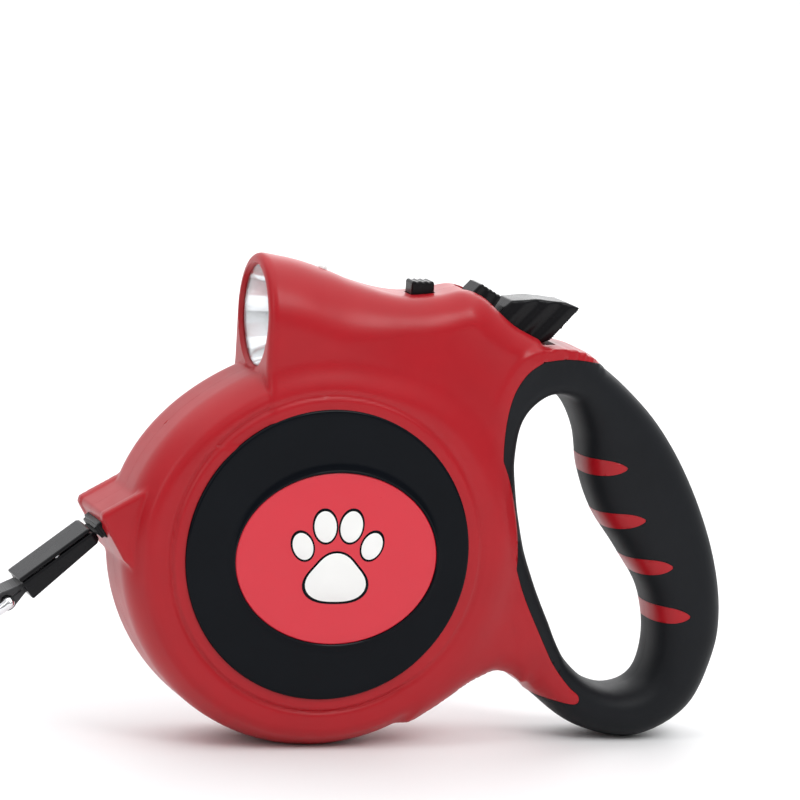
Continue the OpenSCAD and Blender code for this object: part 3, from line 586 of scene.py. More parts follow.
# Each screw's x and z, and how far from the seam its head's face lies.
SCREWS = [(50.2 * math.cos(math.radians(a)), REEL_Z + 50.2 * math.sin(math.radians(a)), 12.5)
          for a in (205, 290)]
SCREWS += [(27, 105.5, 14), (53, 27.5, 14), (94.5, 7.4, 10.5), (106.5, 54, 10.5)]
HEAD_R, HEAD_H = 3.0, 2


def screw_holes(x, y, z):
    best = None
    for sx, sz, head in SCREWS:
        hole = np.maximum(np.hypot(x - sx, z - sz) - HEAD_R, y + head - HEAD_H)
        best = hole if best is None else np.minimum(best, hole)
    return best


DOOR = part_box("battery_door")


def door_area(grow):
    lo, hi = DOOR[0] / MM, DOOR[1] / MM
    mid_x, mid_z = (lo.x + hi.x) / 2, (lo.z + hi.z) / 2
    half_x, half_z = (hi.x - lo.x) / 2 + grow, (hi.z - lo.z) / 2 + grow
    return lambda x, y, z: round_both(np.abs(x - mid_x) - half_x, np.abs(z - mid_z) - half_z, 1.2)


# ---- materials: each from nodes in the model's own coordinates -----------------------
def material(name, color, rough, spread=0.06, grain=1500.0, bump=0.05, depth=0.0002, metal=0.0,
             coat=0.0, coat_rough=0.1, rough_spread=0.06, specular=0.5, sheen=0.0):
    """A surface whose colour and roughness vary a little, with fine relief from noise."""
    mat = bpy.data.materials.new(name)
    mat.use_nodes = True
    nodes, links = mat.node_tree.nodes, mat.node_tree.links
    shader = nodes["Principled BSDF"]
    for socket, value in (("Metallic", metal), ("Coat Weight", coat), ("Coat Roughness", coat_rough),
                          ("Specular IOR Level", specular), ("Sheen Weight", sheen)):
        shader.inputs[socket].default_value = value
    where = nodes.new("ShaderNodeTexCoord")
    broad = noise(nodes, links, where, 55.0, 3)
    fine = noise(nodes, links, where, grain, 4)
    tint = nodes.new("ShaderNodeValToRGB")
    tint.color_ramp.elements[0].position = 0.3
    tint.color_ramp.elements[1].position = 0.7
    tint.color_ramp.elements[0].color = (*[c * (1 - spread) for c in color], 1)
    tint.color_ramp.elements[1].color = (*[min(1, c * (1 + spread)) for c in color], 1)
    links.new(broad.outputs["Fac"], tint.inputs["Fac"])
    links.new(tint.outputs["Color"], shader.inputs["Base Color"])
    spread_map = nodes.new("ShaderNodeMapRange")
    spread_map.inputs["To Min"].default_value = max(0.0, rough - rough_spread)
    spread_map.inputs["To Max"].default_value = min(1.0, rough + rough_spread)
    links.new(noise(nodes, links, where, 160.0, 5).outputs["Fac"], spread_map.inputs["Value"])
    links.new(spread_map.outputs["Result"], shader.inputs["Roughness"])
    relief = nodes.new("ShaderNodeBump")
    relief.inputs["Strength"].default_value = bump
    relief.inputs["Distance"].default_value = depth
    links.new(fine.outputs["Fac"], relief.inputs["Height"])
    links.new(relief.outputs["Normal"], shader.inputs["Normal"])
    return mat


def noise(nodes, links, where, scale, detail):
    node = nodes.new("ShaderNodeTexNoise")
    node.inputs["Scale"].default_value = scale
    node.inputs["Detail"].default_value = detail
    links.new(where.outputs["Object"], node.inputs["Vector"])
    return node


def webbing_material():
    """Close-woven black tape: two crossed waves, finer across than along."""
    mat = material("webbing", (0.012, 0.012, 0.014), 0.62, sheen=0.3)
    nodes, links = mat.node_tree.nodes, mat.node_tree.links
    where = next(n for n in nodes if n.type == "TEX_COORD")
    relief = next(n for n in nodes if n.type == "BUMP")
    turned = nodes.new("ShaderNodeMapping")
    turned.inputs["Rotation"].default_value = (0, TAPE_DIP, 0)
    links.new(where.outputs["Object"], turned.inputs["Vector"])
    waves = []
    for direction, scale in (("X", 180.0), ("Y", 260.0)):
        wave = nodes.new("ShaderNodeTexWave")
        wave.bands_direction = direction
        wave.inputs["Scale"].default_value = scale
        links.new(turned.outputs["Vector"], wave.inputs["Vector"])
        waves.append(wave)
    weave = nodes.new("ShaderNodeMath")
    weave.operation = "MULTIPLY"
    links.new(waves[0].outputs["Fac"], weave.inputs[0])
    links.new(waves[1].outputs["Fac"], weave.inputs[1])
    links.new(weave.outputs["Value"], relief.inputs["Height"])
    relief.inputs["Strength"].default_value = 0.7
    return mat


RED_PLASTIC = material("red_plastic", (0.375, 0.005, 0.011), 0.34, spread=0.05, grain=2600, bump=0.08,
                       depth=0.0001, specular=0.32)
BADGE_RED = material("badge_red", (0.62, 0.010, 0.028), 0.3, spread=0.015, grain=900, bump=0.02,
                     coat=0.2, coat_rough=0.08)
GLOSS_BLACK = material("gloss_black", (0.003, 0.004, 0.006), 0.16, spread=0.1, grain=500, bump=0.015,
                       specular=0.09, rough_spread=0.04)
RUBBER = material("rubber", (0.008, 0.009, 0.011), 0.5, spread=0.12, grain=3200, bump=0.22,
                  depth=0.00015, specular=0.16)
SATIN_BLACK = material("satin_black", (0.006, 0.006, 0.007), 0.27, spread=0.1, grain=2400, bump=0.06,
                       specular=0.16)
CHROME = material("chrome", (0.80, 0.80, 0.82), 0.10, spread=0.03, grain=900, bump=0.02, metal=1.0,
                  rough_spread=0.05)
MIRROR = material("reflector_metal", (0.93, 0.93, 0.94), 0.07, spread=0.02, grain=700, bump=0.03,
                  metal=1.0, rough_spread=0.03)
STEEL = material("zinc_steel", (0.55, 0.55, 0.57), 0.3, spread=0.08, grain=1800, bump=0.1, metal=1.0)
SPRING_STEEL = material("spring_steel", (0.36, 0.37, 0.39), 0.26, spread=0.1, metal=1.0)
INNER = material("inner_plastic", (0.09, 0.09, 0.1), 0.5, spread=0.08)
WHITE = material("lamp_white", (0.82, 0.82, 0.80), 0.28, spread=0.03, coat=0.3)
BOARD = material("board_green", (0.02, 0.16, 0.06), 0.35, spread=0.12)
BRASS = material("contact_brass", (0.72, 0.52, 0.22), 0.3, spread=0.08, metal=1.0)
WIRE = material("wire_cover", (0.03, 0.03, 0.035), 0.45)
PAW_WHITE = material("paw_white", (0.86, 0.86, 0.84), 0.34, spread=0.02, grain=900, bump=0.02,
                     coat=0.4, coat_rough=0.1)
WEBBING = webbing_material()
LENS = material("lens", (0.97, 0.985, 1.0), 0.03, spread=0.005, rough_spread=0.01, bump=0.0)
LENS.node_tree.nodes["Principled BSDF"].inputs["Transmission Weight"].default_value = 1.0
LENS.node_tree.nodes["Principled BSDF"].inputs["IOR"].default_value = 1.3

SLOT_MATERIALS = {
    "shell_red": RED_PLASTIC, "badge_red": BADGE_RED, "disc_black": GLOSS_BLACK,
    "grip_rubber": RUBBER, "satin_black": SATIN_BLACK, "webbing": WEBBING,
    "inner_plastic": INNER, "steel": STEEL, "spring_steel": SPRING_STEEL, "hook_chrome": CHROME,
    "reflector": MIRROR, "lens": LENS, "lamp_white": WHITE, "board_green": BOARD,
    "contact_brass": BRASS, "wire_cover": WIRE,
}
for entry in frame["record"]["subparts"]:
    data = frame["nodes"][entry["node"]].data
    data.materials.clear()
    data.materials.append(SLOT_MATERIALS[entry["material_slot"]])


def finish_piece(obj, body, slot, nodes=(), mat=None):
    """Gives a piece its material and its body, and hides the CAD nodes that it stands for."""
    obj.data.materials.clear()
    obj.data.materials.append(mat or SLOT_MATERIALS[slot])
    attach(obj, body)
    if nodes:
        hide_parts(*nodes)
    return obj


# ---- casing halves, rubber and inlays ------------------------------------------------
FINE = 0.7
LOW, HIGH = (-66, -21.5, -1.5), (90, 1.0, 139.5)
cut_wells = [outside_of(f) for f in (torch_bore, disc_recess, guide_slot, torch_key_well,
                                     brake_well, lock_well)]


def make_casing():
    left = solid_mesh("casing_left", [casing_form, red_side, seam] + cut_wells, LOW, HIGH, FINE)
    shade(left, 50)
    finish_piece(left, "casing", "shell_red", ["left_shell"])
    wider_door = door_area(0.2)

    def door_gap(x, y, z):
        return -np.maximum(wider_door(x, y, z), y + 12.5)

    def door_back(x, y, z):
        return y + 13.6

    right = solid_mesh("casing_right", [casing_form, red_side, seam] + cut_wells
                       + [outside_of(screw_holes), door_gap], LOW, HIGH, FINE)
    finish_piece(shade(swap_side(right), 50), "casing", "shell_red", ["right_shell"])
    door = solid_mesh("battery_cover", [casing_form, door_area(-0.15), door_back],
                      (5, -20, 101), (28, -12.5, 122), FINE / 1.4)
    finish_piece(shade(swap_side(door), 50), "casing", "shell_red", ["battery_door"])


def swap_side(obj):
    obj.data.transform(Matrix.Scale(-1, 4, (0, 1, 0)))
    obj.data.flip_normals()
    return obj


def make_grip():
    low, high = (44, -21.5, -1.5), (124.5, 1.0, 116)

    def groove(x, y, z):
        return -np.maximum(LEAF(x, z) - 0.05, -(form(x, y, z) + 1.4))

    def inlay_top(x, y, z):
        return form(x, y, z) - 0.05

    def inlay_side(x, y, z):
        return LEAF(x, z) + 0.02

    def inlay_back(x, y, z):
        return -(form(x, y, z) + 1.3)

    for side, screws in (("left", []), ("right", [outside_of(screw_holes)])):
        rubber = solid_mesh("grip_" + side, [form, black_side, seam, groove] + screws, low, high, FINE)
        inlay = solid_mesh("finger_marks_" + side, [inlay_top, inlay_side, seam, inlay_back],
                           low, high, FINE * 0.8)
        for obj, name, slot in ((rubber, "_grip_overmould", "grip_rubber"),
                                (inlay, "_finger_inlays", "shell_red")):
            if side == "right":
                swap_side(obj)
            finish_piece(shade(obj, 50), "casing", slot, [side + name])


make_casing()
make_grip()


# ---- turned pieces -------------------------------------------------------------------
def turned(name, profile, centre, axis, steps=128, closed=False):
    """A surface turned about an axis, from a profile of (radius, distance along the axis)."""
    axis = Vector(axis).normalized()
    side = Vector((0, 0, 1)) if abs(axis.z) < 0.9 else Vector((1, 0, 0))
    u = axis.cross(side).normalized()
    v = axis.cross(u)
    bm = bmesh.new()
    rings = []
    for r, h in profile:
        if r < 1e-6:
            rings.append([bm.verts.new((Vector(centre) + axis * h) * MM)])
            continue
        rings.append([bm.verts.new((Vector(centre) + axis * h + u * (r * math.cos(t))
                                    + v * (r * math.sin(t))) * MM)
                      for t in [2 * math.pi * i / steps for i in range(steps)]])
    pairs = list(zip(rings, rings[1:] + ([rings[0]] if closed else [])))
    if not closed:
        pairs = pairs[:len(rings) - 1]
    for a, b in pairs:
        for i in range(steps):
            j = (i + 1) % steps
            corner = [a[i % len(a)], a[j % len(a)], b[j % len(b)], b[i % len(b)]]
            corner = [c for n, c in enumerate(corner) if c not in corner[:n]]
            if len(corner) > 2:
                bm.faces.new(corner)
    return shade(from_bmesh(name, bm), 35)


def arc(cx, cy, r, a0, a1, steps=5):
    """Points of a round corner in a profile."""
    return [(cx + r * math.cos(math.radians(a0 + (a1 - a0) * i / steps)),
             cy + r * math.sin(math.radians(a0 + (a1 - a0) * i / steps))) for i in range(steps + 1)]


# ---- side discs and badges -----------------------------------------------------------
BADGE_AT = (2.4, 54.5)
BADGE_A, BADGE_B = 29.0, 24.1
DISC_TOP = 20.5
BADGE_TOP = 19.95


def oval_disc(name, rings, side, count=144):
    """A disc about the badge's centre: each ring is (radius share, reel radius, half width, half
    height, depth), going from the reel circle at share 0 to the badge's oval at share 1."""
    bm = bmesh.new()
    loops = []
    for share, reel_r, a, b, depth in rings:
        loop = []
        for i in range(count):
            t = 2 * math.pi * i / count
            circle = np.array([reel_r * math.cos(t), REEL_Z + reel_r * math.sin(t)])
            oval = np.array([BADGE_AT[0] + a * math.cos(t), BADGE_AT[1] + b * math.sin(t)])
            x, z = circle + (oval - circle) * share
            loop.append(bm.verts.new((x * MM, side * depth * MM, z * MM)))
        loops.append(loop)
    bridge(bm, loops)
    return shade(from_bmesh(name, bm), 30)


def make_disc(side_name, side):
    a, b = BADGE_A, BADGE_B
    # A thin lip, DISC_R in radius, lies on the casing round the recess.
    rings = [(0, DISC_R - 1.5, a, b, DISC_FLOOR + 0.1), (0, DISC_R - 1.5, a, b, FACE_Y + 0.02),
             (0, DISC_R - 0.1, a, b, FACE_Y + 0.02)]
    rings += [(0, r, a, b, d) for r, d in arc(DISC_R - 0.9, DISC_TOP - 0.9, 0.9, 0, 90)]
    # The ring's face dishes gently towards the badge, and ends in a small raised lip.
    for share in (0.15, 0.35, 0.6, 0.85):
        rings.append((share, DISC_R - 1.2, a + 0.9, b + 0.9, DISC_TOP - 0.35 * math.sin(share * 2.6)))
    rings += [(1, 0, a + 0.9, b + 0.9, DISC_TOP - 0.25), (1, 0, a + 0.65, b + 0.65, DISC_TOP - 0.12),
              (1, 0, a + 0.35, b + 0.35, DISC_TOP - 0.14), (1, 0, a + 0.05, b + 0.05, DISC_TOP - 0.35),
              (1, 0, a, b, BADGE_TOP - 0.8)]
    disc = oval_disc(side_name + "_disc", rings, side)
    finish_piece(disc, "casing", "disc_black", [side_name + "_side_disc"])
    plate = [(1, 0, a - 0.06, b - 0.06, BADGE_TOP - 0.75), (1, 0, a - 0.06, b - 0.06, BADGE_TOP - 0.15),
             (1, 0, a - 0.3, b - 0.3, BADGE_TOP)]
    plate += [(1, 0, (a - 0.3) * k, (b - 0.3) * k, BADGE_TOP + 0.12 * (1 - k * k))
              for k in (0.9, 0.7, 0.5, 0.3, 0.1)]
    badge = oval_disc(side_name + "_badge_plate", plate, side)
    finish_piece(badge, "casing", "badge_red", [side_name + "_badge"])
    make_paw(side_name, side)


def pad_outline(kind, size):
    """A paw pad's outline about its own centre: an egg for a toe, a rounded trefoil for the palm."""
    points = []
    for i in range(48):
        t = 2 * math.pi * i / 48
        if kind == "toe":
            r = 1 + 0.10 * math.sin(t)
            points.append((size * 0.72 * r * math.cos(t), size * r * math.sin(t)))
        else:
            r = 1 + 0.10 * math.cos(3 * (t - math.pi / 2)) - 0.10 * math.sin(t)
            points.append((size * 1.12 * r * math.cos(t), size * 0.92 * r * math.sin(t)))
    return points


def make_paw(side_name, side):
    """A plain paw print, low in relief, at the middle of the badge."""
    pads = [("palm", 0, -5.2, 7.4, 0), ("toe", -9.8, 3.2, 3.9, 24), ("toe", -3.7, 8.6, 4.4, 8),
            ("toe", 3.7, 8.6, 4.4, -8), ("toe", 9.8, 3.2, 3.9, -24)]
    for grow, lift, mat, slot, label in (
            (0.75, 0.16, GLOSS_BLACK, "disc_black", "paw_edge_"),
            (0, 0.26, PAW_WHITE, "lamp_white", "paw_print_")):
        bm = bmesh.new()
        for kind, px, pz, size, turn in pads:
            c, s = math.cos(math.radians(turn)), math.sin(math.radians(turn))
            loops = []
            for inset, depth in ((0, -0.3), (0, lift - 0.08), (0.12, lift)):
                loop = []
                for u, v in pad_outline(kind, size + grow - inset):
                    x = BADGE_AT[0] + px + u * c - v * s
                    z = BADGE_AT[1] + pz + u * s + v * c
                    loop.append(bm.verts.new((x * MM, side * (BADGE_TOP + depth) * MM, z * MM)))
                loops.append(loop)
            bridge(bm, loops)
        obj = from_bmesh(label + side_name, bm)
        finish_piece(shade(obj, 40), "casing", slot, mat=mat)


for side_name, side in (("left", -1), ("right", 1)):
    make_disc(side_name, side)


# ---- torch ---------------------------------------------------------------------------
def make_torch():
    depth = BOWL_BACK - LENS_X - 1
    bowl = [(3.4 + 10.4 * math.sqrt(1 - i / 40), 1 + depth * i / 40) for i in range(41)]
    back = [(r + 0.7, h) for r, h in bowl[::-1]]
    profile = [(MOUTH_R + 1.0, 1.0)] + bowl + back[:-1] + [(MOUTH_R + 1.0, 1.8)]
    reflector = turned("reflector_bowl", profile, (LENS_X, 0, TORCH_Z), (1, 0, 0), closed=True)
    finish_piece(reflector, "casing", "reflector", ["torch_reflector"])
    cover = [(0, -0.25)] + [(MOUTH_R * k, -0.25 * (1 - k * k)) for k in (0.3, 0.6, 0.9)]
    cover += [(MOUTH_R + 1, 0), (MOUTH_R + 1, 0.9), (0, 0.9)]
    window = turned("torch_window", cover, (LENS_X, 0, TORCH_Z), (1, 0, 0))
    finish_piece(window, "casing", "lens", ["torch_lens"])


def make_power_lamp():
    at = (-0.4, 0, 132.4)
    up = (0.3, 0, 0.95)
    radius = 1.3
    dome = [(radius, -1.6), (radius, 0.1)] + [(r, 0.1 + h) for r, h in arc(0, 0, radius, 10, 85, 8)]
    lamp = turned("power_dome", [(0, -1.6)] + dome + [(0, 0.1 + radius)], at, up, steps=48)
    finish_piece(lamp, "casing", "lamp_white", ["power_lamp"])


make_torch()
make_power_lamp()


# ---- controls on top -----------------------------------------------------------------
BRAKE_OUTLINE = [(49.7, 120.4), (51.6, 123.1), (54, 125), (61, 125.6), (69.9, 124.7), (74.5, 123),
                 (70.4, 118.4), (67.6, 114.4), (63, 113.1), (49.1, 119.2)]
BRAKE_HALF = 6.0
FLUTE = np.array([0.72, -0.69])


def make_brake():
    outline = outline_field(BRAKE_OUTLINE)

    def body(x, y, z):
        flute = 0.5 + 0.5 * np.cos(2 * math.pi * (x * FLUTE[0] + z * FLUTE[1]) / 5.2)
        return round_both(outline(x, z), np.abs(y) - BRAKE_HALF + 0.5 * flute, 0.6)

    def rear(x, y, z):
        # Shallow flutes run down the rear face, where the thumb sits.
        return 0.5 * np.cos(2 * math.pi * y / 2.4) + 0.1 - (74.2 - x + 0.9 * (z - 123))

    stem = tilted_box((54.2, 117), ALONG_SLOPE, -2.5, 2.5, -10.4, 1.4, 2.4)

    def whole(x, y, z):
        return np.minimum(np.maximum(body(x, y, z), rear(x, y, z)), stem(x, y, z))

    key = solid_mesh("brake_key", [whole], (44, -7, 103), (76, 7, 127), 0.45)
    finish_piece(shade(key, 55), "brake", "satin_black", ["brake_button"])


def lock_frame(x, z):
    out = np.array([LOCK[1], -LOCK[0]])
    return ((x - LOCK_AT[0]) * LOCK[0] + (z - LOCK_AT[1]) * LOCK[1],
            (x - LOCK_AT[0]) * out[0] + (z - LOCK_AT[1]) * out[1])


def make_lock():
    outline = outline_field([(0.4, 0.35), (0.4, 4.6), (7.6, 4.4), (8.4, 0.35)])

    def body(x, y, z):
        a, b = lock_frame(x, z)
        ribs = 0.3 * (0.5 + 0.5 * np.cos(2 * math.pi * (a - 0.5) / 1.4)) * (b > 2)
        hollow = 0.3 * (0.5 + 0.5 * np.cos(2 * math.pi * (a - 2.2) / 3.6))
        return round_both(outline(a, b + ribs), np.abs(y) - 4.95 + hollow, 0.45)

    def stem(x, y, z):
        a, b = lock_frame(x, z)
        return np.maximum(np.maximum(np.abs(a - 4.25) - 3.2, np.maximum(b - 1, -4 - b)), np.abs(y) - 2.5)

    def whole(x, y, z):
        return np.minimum(body(x, y, z), stem(x, y, z))

    key = solid_mesh("lock_key", [whole], (38, -6, 116), (55, 6, 133), 0.35)
    finish_piece(shade(key, 50), "lock", "satin_black", ["lock_slider"])


def make_torch_key():
    lo, hi = torch_key[0] / MM, torch_key[1] / MM
    mid_x = (lo.x + hi.x) / 2
    half = (hi.x - lo.x) / 2

    def body(x, y, z):
        top = hi.z - 0.3 * (0.5 + 0.5 * np.cos(2 * math.pi * (x - mid_x) / 1.7))
        side = round_both(np.abs(x - mid_x) - half, np.abs(y) - half, 0.7)
        return round_both(side, np.maximum(lo.z - z, z - top), 0.5)

    around = Vector((1, 1, 1))
    key = solid_mesh("torch_key", [body], tuple(lo - around), tuple(hi + around), 0.3)
    finish_piece(shade(key, 50), "torch_key", "satin_black", ["torch_button"])


make_brake()
make_lock()
make_torch_key()

# ---- nose guide, connector, tape and strap, in the tape's own frame ------------------
TAPE_FRAME = (Matrix.Translation((TANGENT[0] * MM, 0, TANGENT[1] * MM))
              @ Matrix.Rotation(-TAPE_DIP, 4, "Y"))
GUIDE_START, GUIDE_END = 36.0, 46.6
CONN_START = GUIDE_END + 0.5
CONN_END = CONN_START + 24.5
CONN_HALF = 7.0
LOOP_AT = CONN_END + 6
TAPE_T, TAPE_HALF = 0.8, 6.0
TAPE_MID = -TAPE_T / 2
EYE_WIRE = 1.4


def placed(obj, frame_matrix):
    obj.data.transform(frame_matrix)
    return obj


def make_guide():
    def outside(x, y, z):
        lip = 0.5 * step_up(-x, GUIDE_END - 1.2, GUIDE_END - 0.8)
        section = round_both(np.abs(y) - 7.5 + lip, np.abs(z + 0.5) - 2.4 + lip, 0.6)
        return round_both(section, np.maximum(-x - GUIDE_END, GUIDE_START + x), 0.35)

    def slot(x, y, z):
        flare = 0.35 * step_up(-x, GUIDE_END - 0.8, GUIDE_END)
        return -np.maximum(np.abs(y) - 6.5 - flare, np.abs(z - TAPE_MID) - 0.9 - flare)

    guide = solid_mesh("tape_guide", [outside, slot], (-48, -9, -5), (-35, 9, 4), 0.35)
    finish_piece(placed(shade(guide, 50), TAPE_FRAME), "casing", "satin_black", ["nose_guide"])


def taper(x, start, end):
    return start + (end - start) * (-x - CONN_START) / (CONN_END - CONN_START)


def make_connector():
    def half(low, high):
        def field(x, y, z):
            nose_in = 0.5 * (1 - step_up(-x, CONN_START, CONN_START + 1.4))
            height = np.maximum(taper(x, *low) + nose_in - z, z - taper(x, *high) + nose_in)
            long = np.maximum(-x - CONN_END, CONN_START + x)
            side = np.abs(y) - CONN_HALF + nose_in
            return round_both(round_both(side, height, 0.55), long, 0.45)
        return field

    def inside(x, y, z):
        height = np.abs(z - TAPE_MID)
        tape_room = np.maximum(np.maximum(np.abs(y) - 6.2, height - 0.45), -x - CONN_START - 8.3)
        strap_room = np.maximum(np.maximum(np.abs(y) - 5.15, height - 1.45), x + CONN_END - 8)
        return -np.minimum(tape_room, strap_room)

    low, high = (-CONN_END - 1, -8, -5), (-CONN_START + 1, 8, 4.5)
    under = solid_mesh("connector_lower", [half((-2.6, -4), (0.85, 1.5)), inside], low, high, 0.4)
    over = solid_mesh("connector_upper", [half((1.25, 1.75), (2.3, 3)), inside], low, high, 0.3)
    for obj, node in ((under, "connector_bottom"), (over, "connector_top")):
        finish_piece(placed(shade(obj, 50), TAPE_FRAME), "tape_end", "satin_black", [node])


def make_tape():
    """The tape from inside the nose to the connector."""
    first, last, cuts = 30.0, CONN_START + 7.8, 90
    bm = bmesh.new()
    rings = []
    section = [(-TAPE_HALF, -TAPE_T + 0.2), (-TAPE_HALF + 0.15, -TAPE_T), (TAPE_HALF - 0.15, -TAPE_T),
               (TAPE_HALF, -TAPE_T + 0.2), (TAPE_HALF, -0.2), (TAPE_HALF - 0.15, 0),
               (-TAPE_HALF + 0.15, 0), (-TAPE_HALF, -0.2)]
    for i in range(cuts + 1):
        s = first + (last - first) * i / cuts
        rings.append([bm.verts.new((-s * MM, y * MM, w * MM)) for y, w in section])
    bridge(bm, rings)
    tape = placed(shade(from_bmesh("tape_run", bm), 40), TAPE_FRAME)
    tape.data.materials.append(WEBBING)
    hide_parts("leash_tape")
    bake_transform(tape)


def make_strap():
    inner, outer = EYE_WIRE + 0.3, EYE_WIRE + 1.4
    neck = [(-CONN_END + 7.8, 1.35), (-CONN_END - 0.4, 1.35), (-LOOP_AT, outer), (-LOOP_AT, -outer),
            (-CONN_END - 0.4, -1.35), (-CONN_END + 7.8, -1.35)]
    neck_field = outline_field(neck)

    def body(x, y, z):
        z = z - TAPE_MID
        r = np.hypot(x + LOOP_AT, z)
        flat = np.minimum(neck_field(x, z), r - outer)
        slit = np.maximum(np.abs(z) - 0.16, np.maximum(-LOOP_AT - x, x + CONN_END + 1))
        flat = np.maximum(flat, -np.minimum(r - inner, slit))
        return round_both(flat, np.abs(y) - 5, 0.3)

    strap = solid_mesh("hook_strap", [body], (-LOOP_AT - 4, -6, -5), (-CONN_END + 9, 6, 4), 0.3)
    finish_piece(placed(shade(strap, 50), TAPE_FRAME), "tape_end", "webbing", ["hook_strap_loop"])


make_guide()
make_connector()
make_tape()
make_strap()

# ---- the swivel hook, in its own frame -----------------------------------------------
HOOK_DIP = math.radians(41)
EYE = TAPE_FRAME @ Vector((-LOOP_AT * MM, 0, TAPE_MID * MM))
HOOK_FRAME = Matrix.Translation(EYE) @ Matrix.Rotation(-math.pi / 2 - HOOK_DIP, 4, "Y")
EYE_R, WIRE_R, HOOK_Z = 7.5, 2.0, 37.5


def capsule(x, y, z, a, b, r):
    a, b = np.array(a), np.array(b)
    e = b - a
    t = np.clip(((x - a[0]) * e[0] + (y - a[1]) * e[1] + (z - a[2]) * e[2]) / (e @ e), 0, 1)
    return np.sqrt((x - a[0] - t * e[0]) ** 2 + (y - a[1] - t * e[1]) ** 2
                   + (z - a[2] - t * e[2]) ** 2) - r


def make_hook():
    def body(x, y, z):
        r = np.hypot(x, y)
        ribs = 0.22 * np.cos(2 * math.pi * (z - 14.2) / 1.6) * ((z > 13.6) & (z < 17.8))
        barrel = round_both(r - 3.6 + 0.22 + ribs, np.maximum(13.2 - z, z - 30), 0.6)
        angle = np.degrees(np.arctan2(z - HOOK_Z, x + EYE_R))
        angle = np.clip(np.where(angle < -58, angle + 360, angle), -10, 262)
        bend = np.sqrt((x + EYE_R - EYE_R * np.cos(np.radians(angle))) ** 2 + y**2
                       + (z - HOOK_Z - EYE_R * np.sin(np.radians(angle))) ** 2) - WIRE_R
        shank = capsule(x, y, z, (-1.6, 0, 25), (-8.6, 0, 30.0), 1.9)
        ball = np.sqrt((x + 0.2) ** 2 + y**2 + (z - HOOK_Z - 0.1) ** 2) - 2.4
        return join(join(barrel, shank, 1.6), join(bend, ball, 0.8), 0.8)

    def bore(x, y, z):
        slot = np.maximum(np.maximum(np.abs(y) - 1.15, -x), np.maximum(20.0 - z, z - 28.7))
        hole = np.maximum(np.hypot(x, y) - 2.12, np.maximum(16 - z, z - 31))
        return -np.minimum(hole, slot)

    hook = solid_mesh("hook_frame", [body, bore], (-18.5, -5, 11.5), (5, 5, 48.5), 0.36)
    finish_piece(placed(shade(hook, 50), HOOK_FRAME), "hook", "hook_chrome", ["hook_body"])

    def bolt(x, y, z):
        pin = round_both(np.hypot(x, y) - 2.0, np.maximum(26.3 - z, z - 34.3), 0.7)
        stem = np.maximum(np.hypot(y, z - 27.4) - 0.8, np.maximum(-x, x - 5.5))
        knob = round_both(np.hypot(y, z - 27.4) - 1.7, np.maximum(5 - x, x - 6.5), 0.5)
        return np.minimum(np.minimum(pin, stem), knob)

    key = solid_mesh("hook_bolt", [bolt], (-3, -3, 25), (7.5, 3, 36), 0.3)
    finish_piece(placed(shade(key, 50), HOOK_FRAME), "gate", "hook_chrome", ["gate_bolt"])

    def eye(x, y, z):
        turn = np.clip(np.arctan2(z, y), 0, math.pi)
        turn = np.where((z < 0) & (y < 0), math.pi, turn)
        off_y, off_z = y - EYE_R * np.cos(turn), z - EYE_R * np.sin(turn)
        bow = np.sqrt(x**2 + off_y**2 + off_z**2) - EYE_WIRE
        bar = capsule(x, y, z, (0, -EYE_R, 0), (0, EYE_R, 0), EYE_WIRE)
        boss = round_both(np.hypot(x, y) - 3.4, np.maximum(5.4 - z, z - 12.6), 0.7)
        return join(join(bow, bar, 0.5), boss, 0.8)

    def through(x, y, z):
        return -np.maximum(np.hypot(x, y) - 1.62, 4.4 - z)

    ring = solid_mesh("swivel_ring", [eye, through], (-4.5, -10, -2.5), (4.5, 10, 13.5), 0.35)
    finish_piece(placed(shade(ring, 50), HOOK_FRAME), "eye", "hook_chrome", ["swivel_eye"])


make_hook()


# ---- springs, each a wire coil set in place by a frame -------------------------------
def coil(name, radius, wire, length, turns, frame_matrix, node):
    """A wire coil along Z, set in place by the frame matrix."""
    steps, sides = 24, 10
    count = turns * steps
    bm = bmesh.new()
    rings = []
    for i in range(count + 1):
        turn = 2 * math.pi * i / steps
        rise = wire + (length - 2 * wire) * i / count
        ring_points = []
        for j in range(sides):
            around = 2 * math.pi * j / sides
            r = radius + wire * math.cos(around)
            point = (r * math.cos(turn), r * math.sin(turn), rise + wire * math.sin(around))
            ring_points.append(bm.verts.new(Vector(point) * MM))
        rings.append(ring_points)
    bridge(bm, rings)
    spring = placed(shade(from_bmesh(name, bm), 50), frame_matrix)
    spring.data.materials.append(SPRING_STEEL)
    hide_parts(node)
    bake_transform(spring)


def make_springs():
    gate = HOOK_FRAME @ Matrix.Translation((0, 0, 16.8 * MM))
    coil("gate_coil", 1.4, 0.22, 9.25, 5, gate, "gate_spring")
    outward = Vector((math.cos(PAWL_ANGLE), 0, math.sin(PAWL_ANGLE)))
    seat = Vector((0, -9.5, REEL_Z)) + outward * 61.55
    brake = Matrix.Translation(seat * MM) @ Matrix.Rotation(math.pi / 2 - PAWL_ANGLE, 4, "Y")
    coil("brake_coil", 2.9, 0.26, 6.2, 4, brake, "brake_spring")
    torch = Matrix.Translation(Vector((28.3, 0, 118.95)) * MM)
    coil("torch_key_coil", 1.5, 0.13, 2.1, 2, torch, "torch_button_spring")


make_springs()

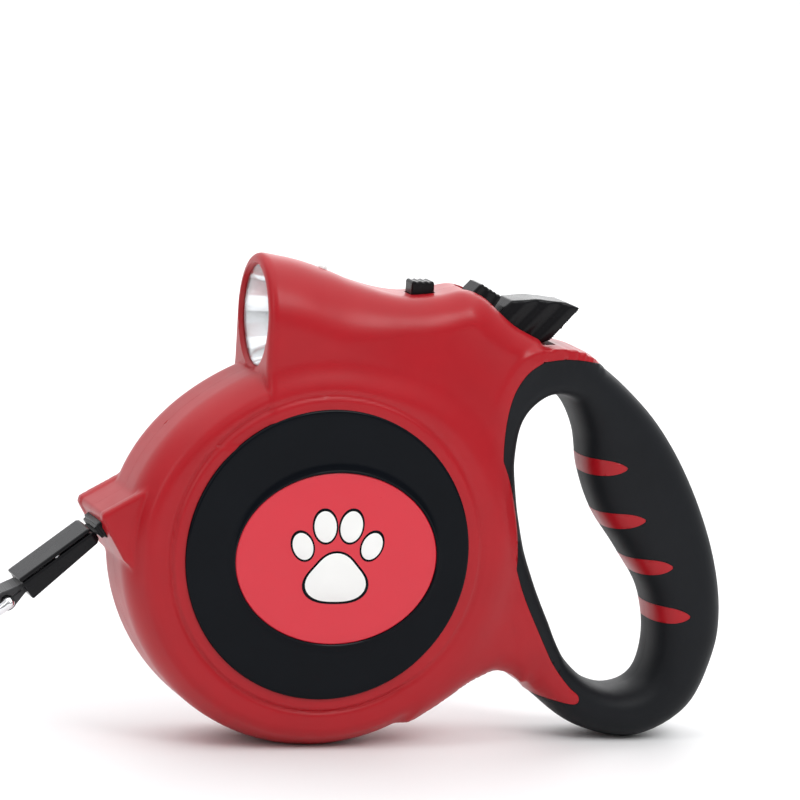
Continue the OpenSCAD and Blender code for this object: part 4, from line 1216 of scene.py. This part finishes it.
# ---- floor and lights ----------------------------------------------------------------
def make_stage():
    bpy.ops.mesh.primitive_plane_add(size=8, location=(0, 0, 0))
    floor = bpy.context.object
    floor.name = "floor"
    mat = bpy.data.materials.new("floor_white")
    mat.use_nodes = True
    shader = mat.node_tree.nodes["Principled BSDF"]
    shader.inputs["Base Color"].default_value = (0.86, 0.86, 0.86, 1)
    shader.inputs["Roughness"].default_value = 0.6
    floor.data.materials.append(mat)


def area_light(name, at, target, size, power, size_y=None):
    data = bpy.data.lights.new(name, "AREA")
    data.shape = "RECTANGLE"
    data.size, data.size_y = size, size_y or size
    data.energy = power
    light = linked(name, data)
    light.location = at
    aim = Vector(target) - Vector(at)
    light.rotation_euler = aim.to_track_quat("-Z", "Y").to_euler()


def make_lights():
    world = bpy.data.worlds.new("studio")
    world.use_nodes = True
    nodes, links = world.node_tree.nodes, world.node_tree.links
    background = nodes["Background"]
    background.inputs["Color"].default_value = (0.98, 0.985, 1.0, 1)
    # The room is bright overhead and behind the object, and dim on the camera's side.
    where = nodes.new("ShaderNodeTexCoord")
    split = nodes.new("ShaderNodeSeparateXYZ")
    brighter = nodes.new("ShaderNodeMath")
    brighter.operation = "MAXIMUM"
    level = nodes.new("ShaderNodeMapRange")
    for socket, value in (("From Min", 0.0), ("From Max", 0.8), ("To Min", 0.15), ("To Max", 1.04)):
        level.inputs[socket].default_value = value
    links.new(where.outputs["Generated"], split.inputs["Vector"])
    links.new(split.outputs["Y"], brighter.inputs[0])
    links.new(split.outputs["Z"], brighter.inputs[1])
    links.new(brighter.outputs["Value"], level.inputs["Value"])
    links.new(level.outputs["Result"], background.inputs["Strength"])
    bpy.context.scene.world = world
    area_light("key", (0.3, -0.75, 0.85), (0.03, 0, 0.07), 0.45, 3.7)
    area_light("ceiling", (0.0, 1.2, 3.6), (0, 1.2, 0), 6.0, 82)
    area_light("side", (-0.9, -0.35, 0.45), (0, 0, 0.08), 0.25, 0.9, size_y=0.6)
    area_light("back", (0.5, 0.9, 0.5), (0.03, 0, 0.07), 0.7, 2)
    bpy.context.scene.view_settings.view_transform = "Standard"


make_stage()
make_lights()
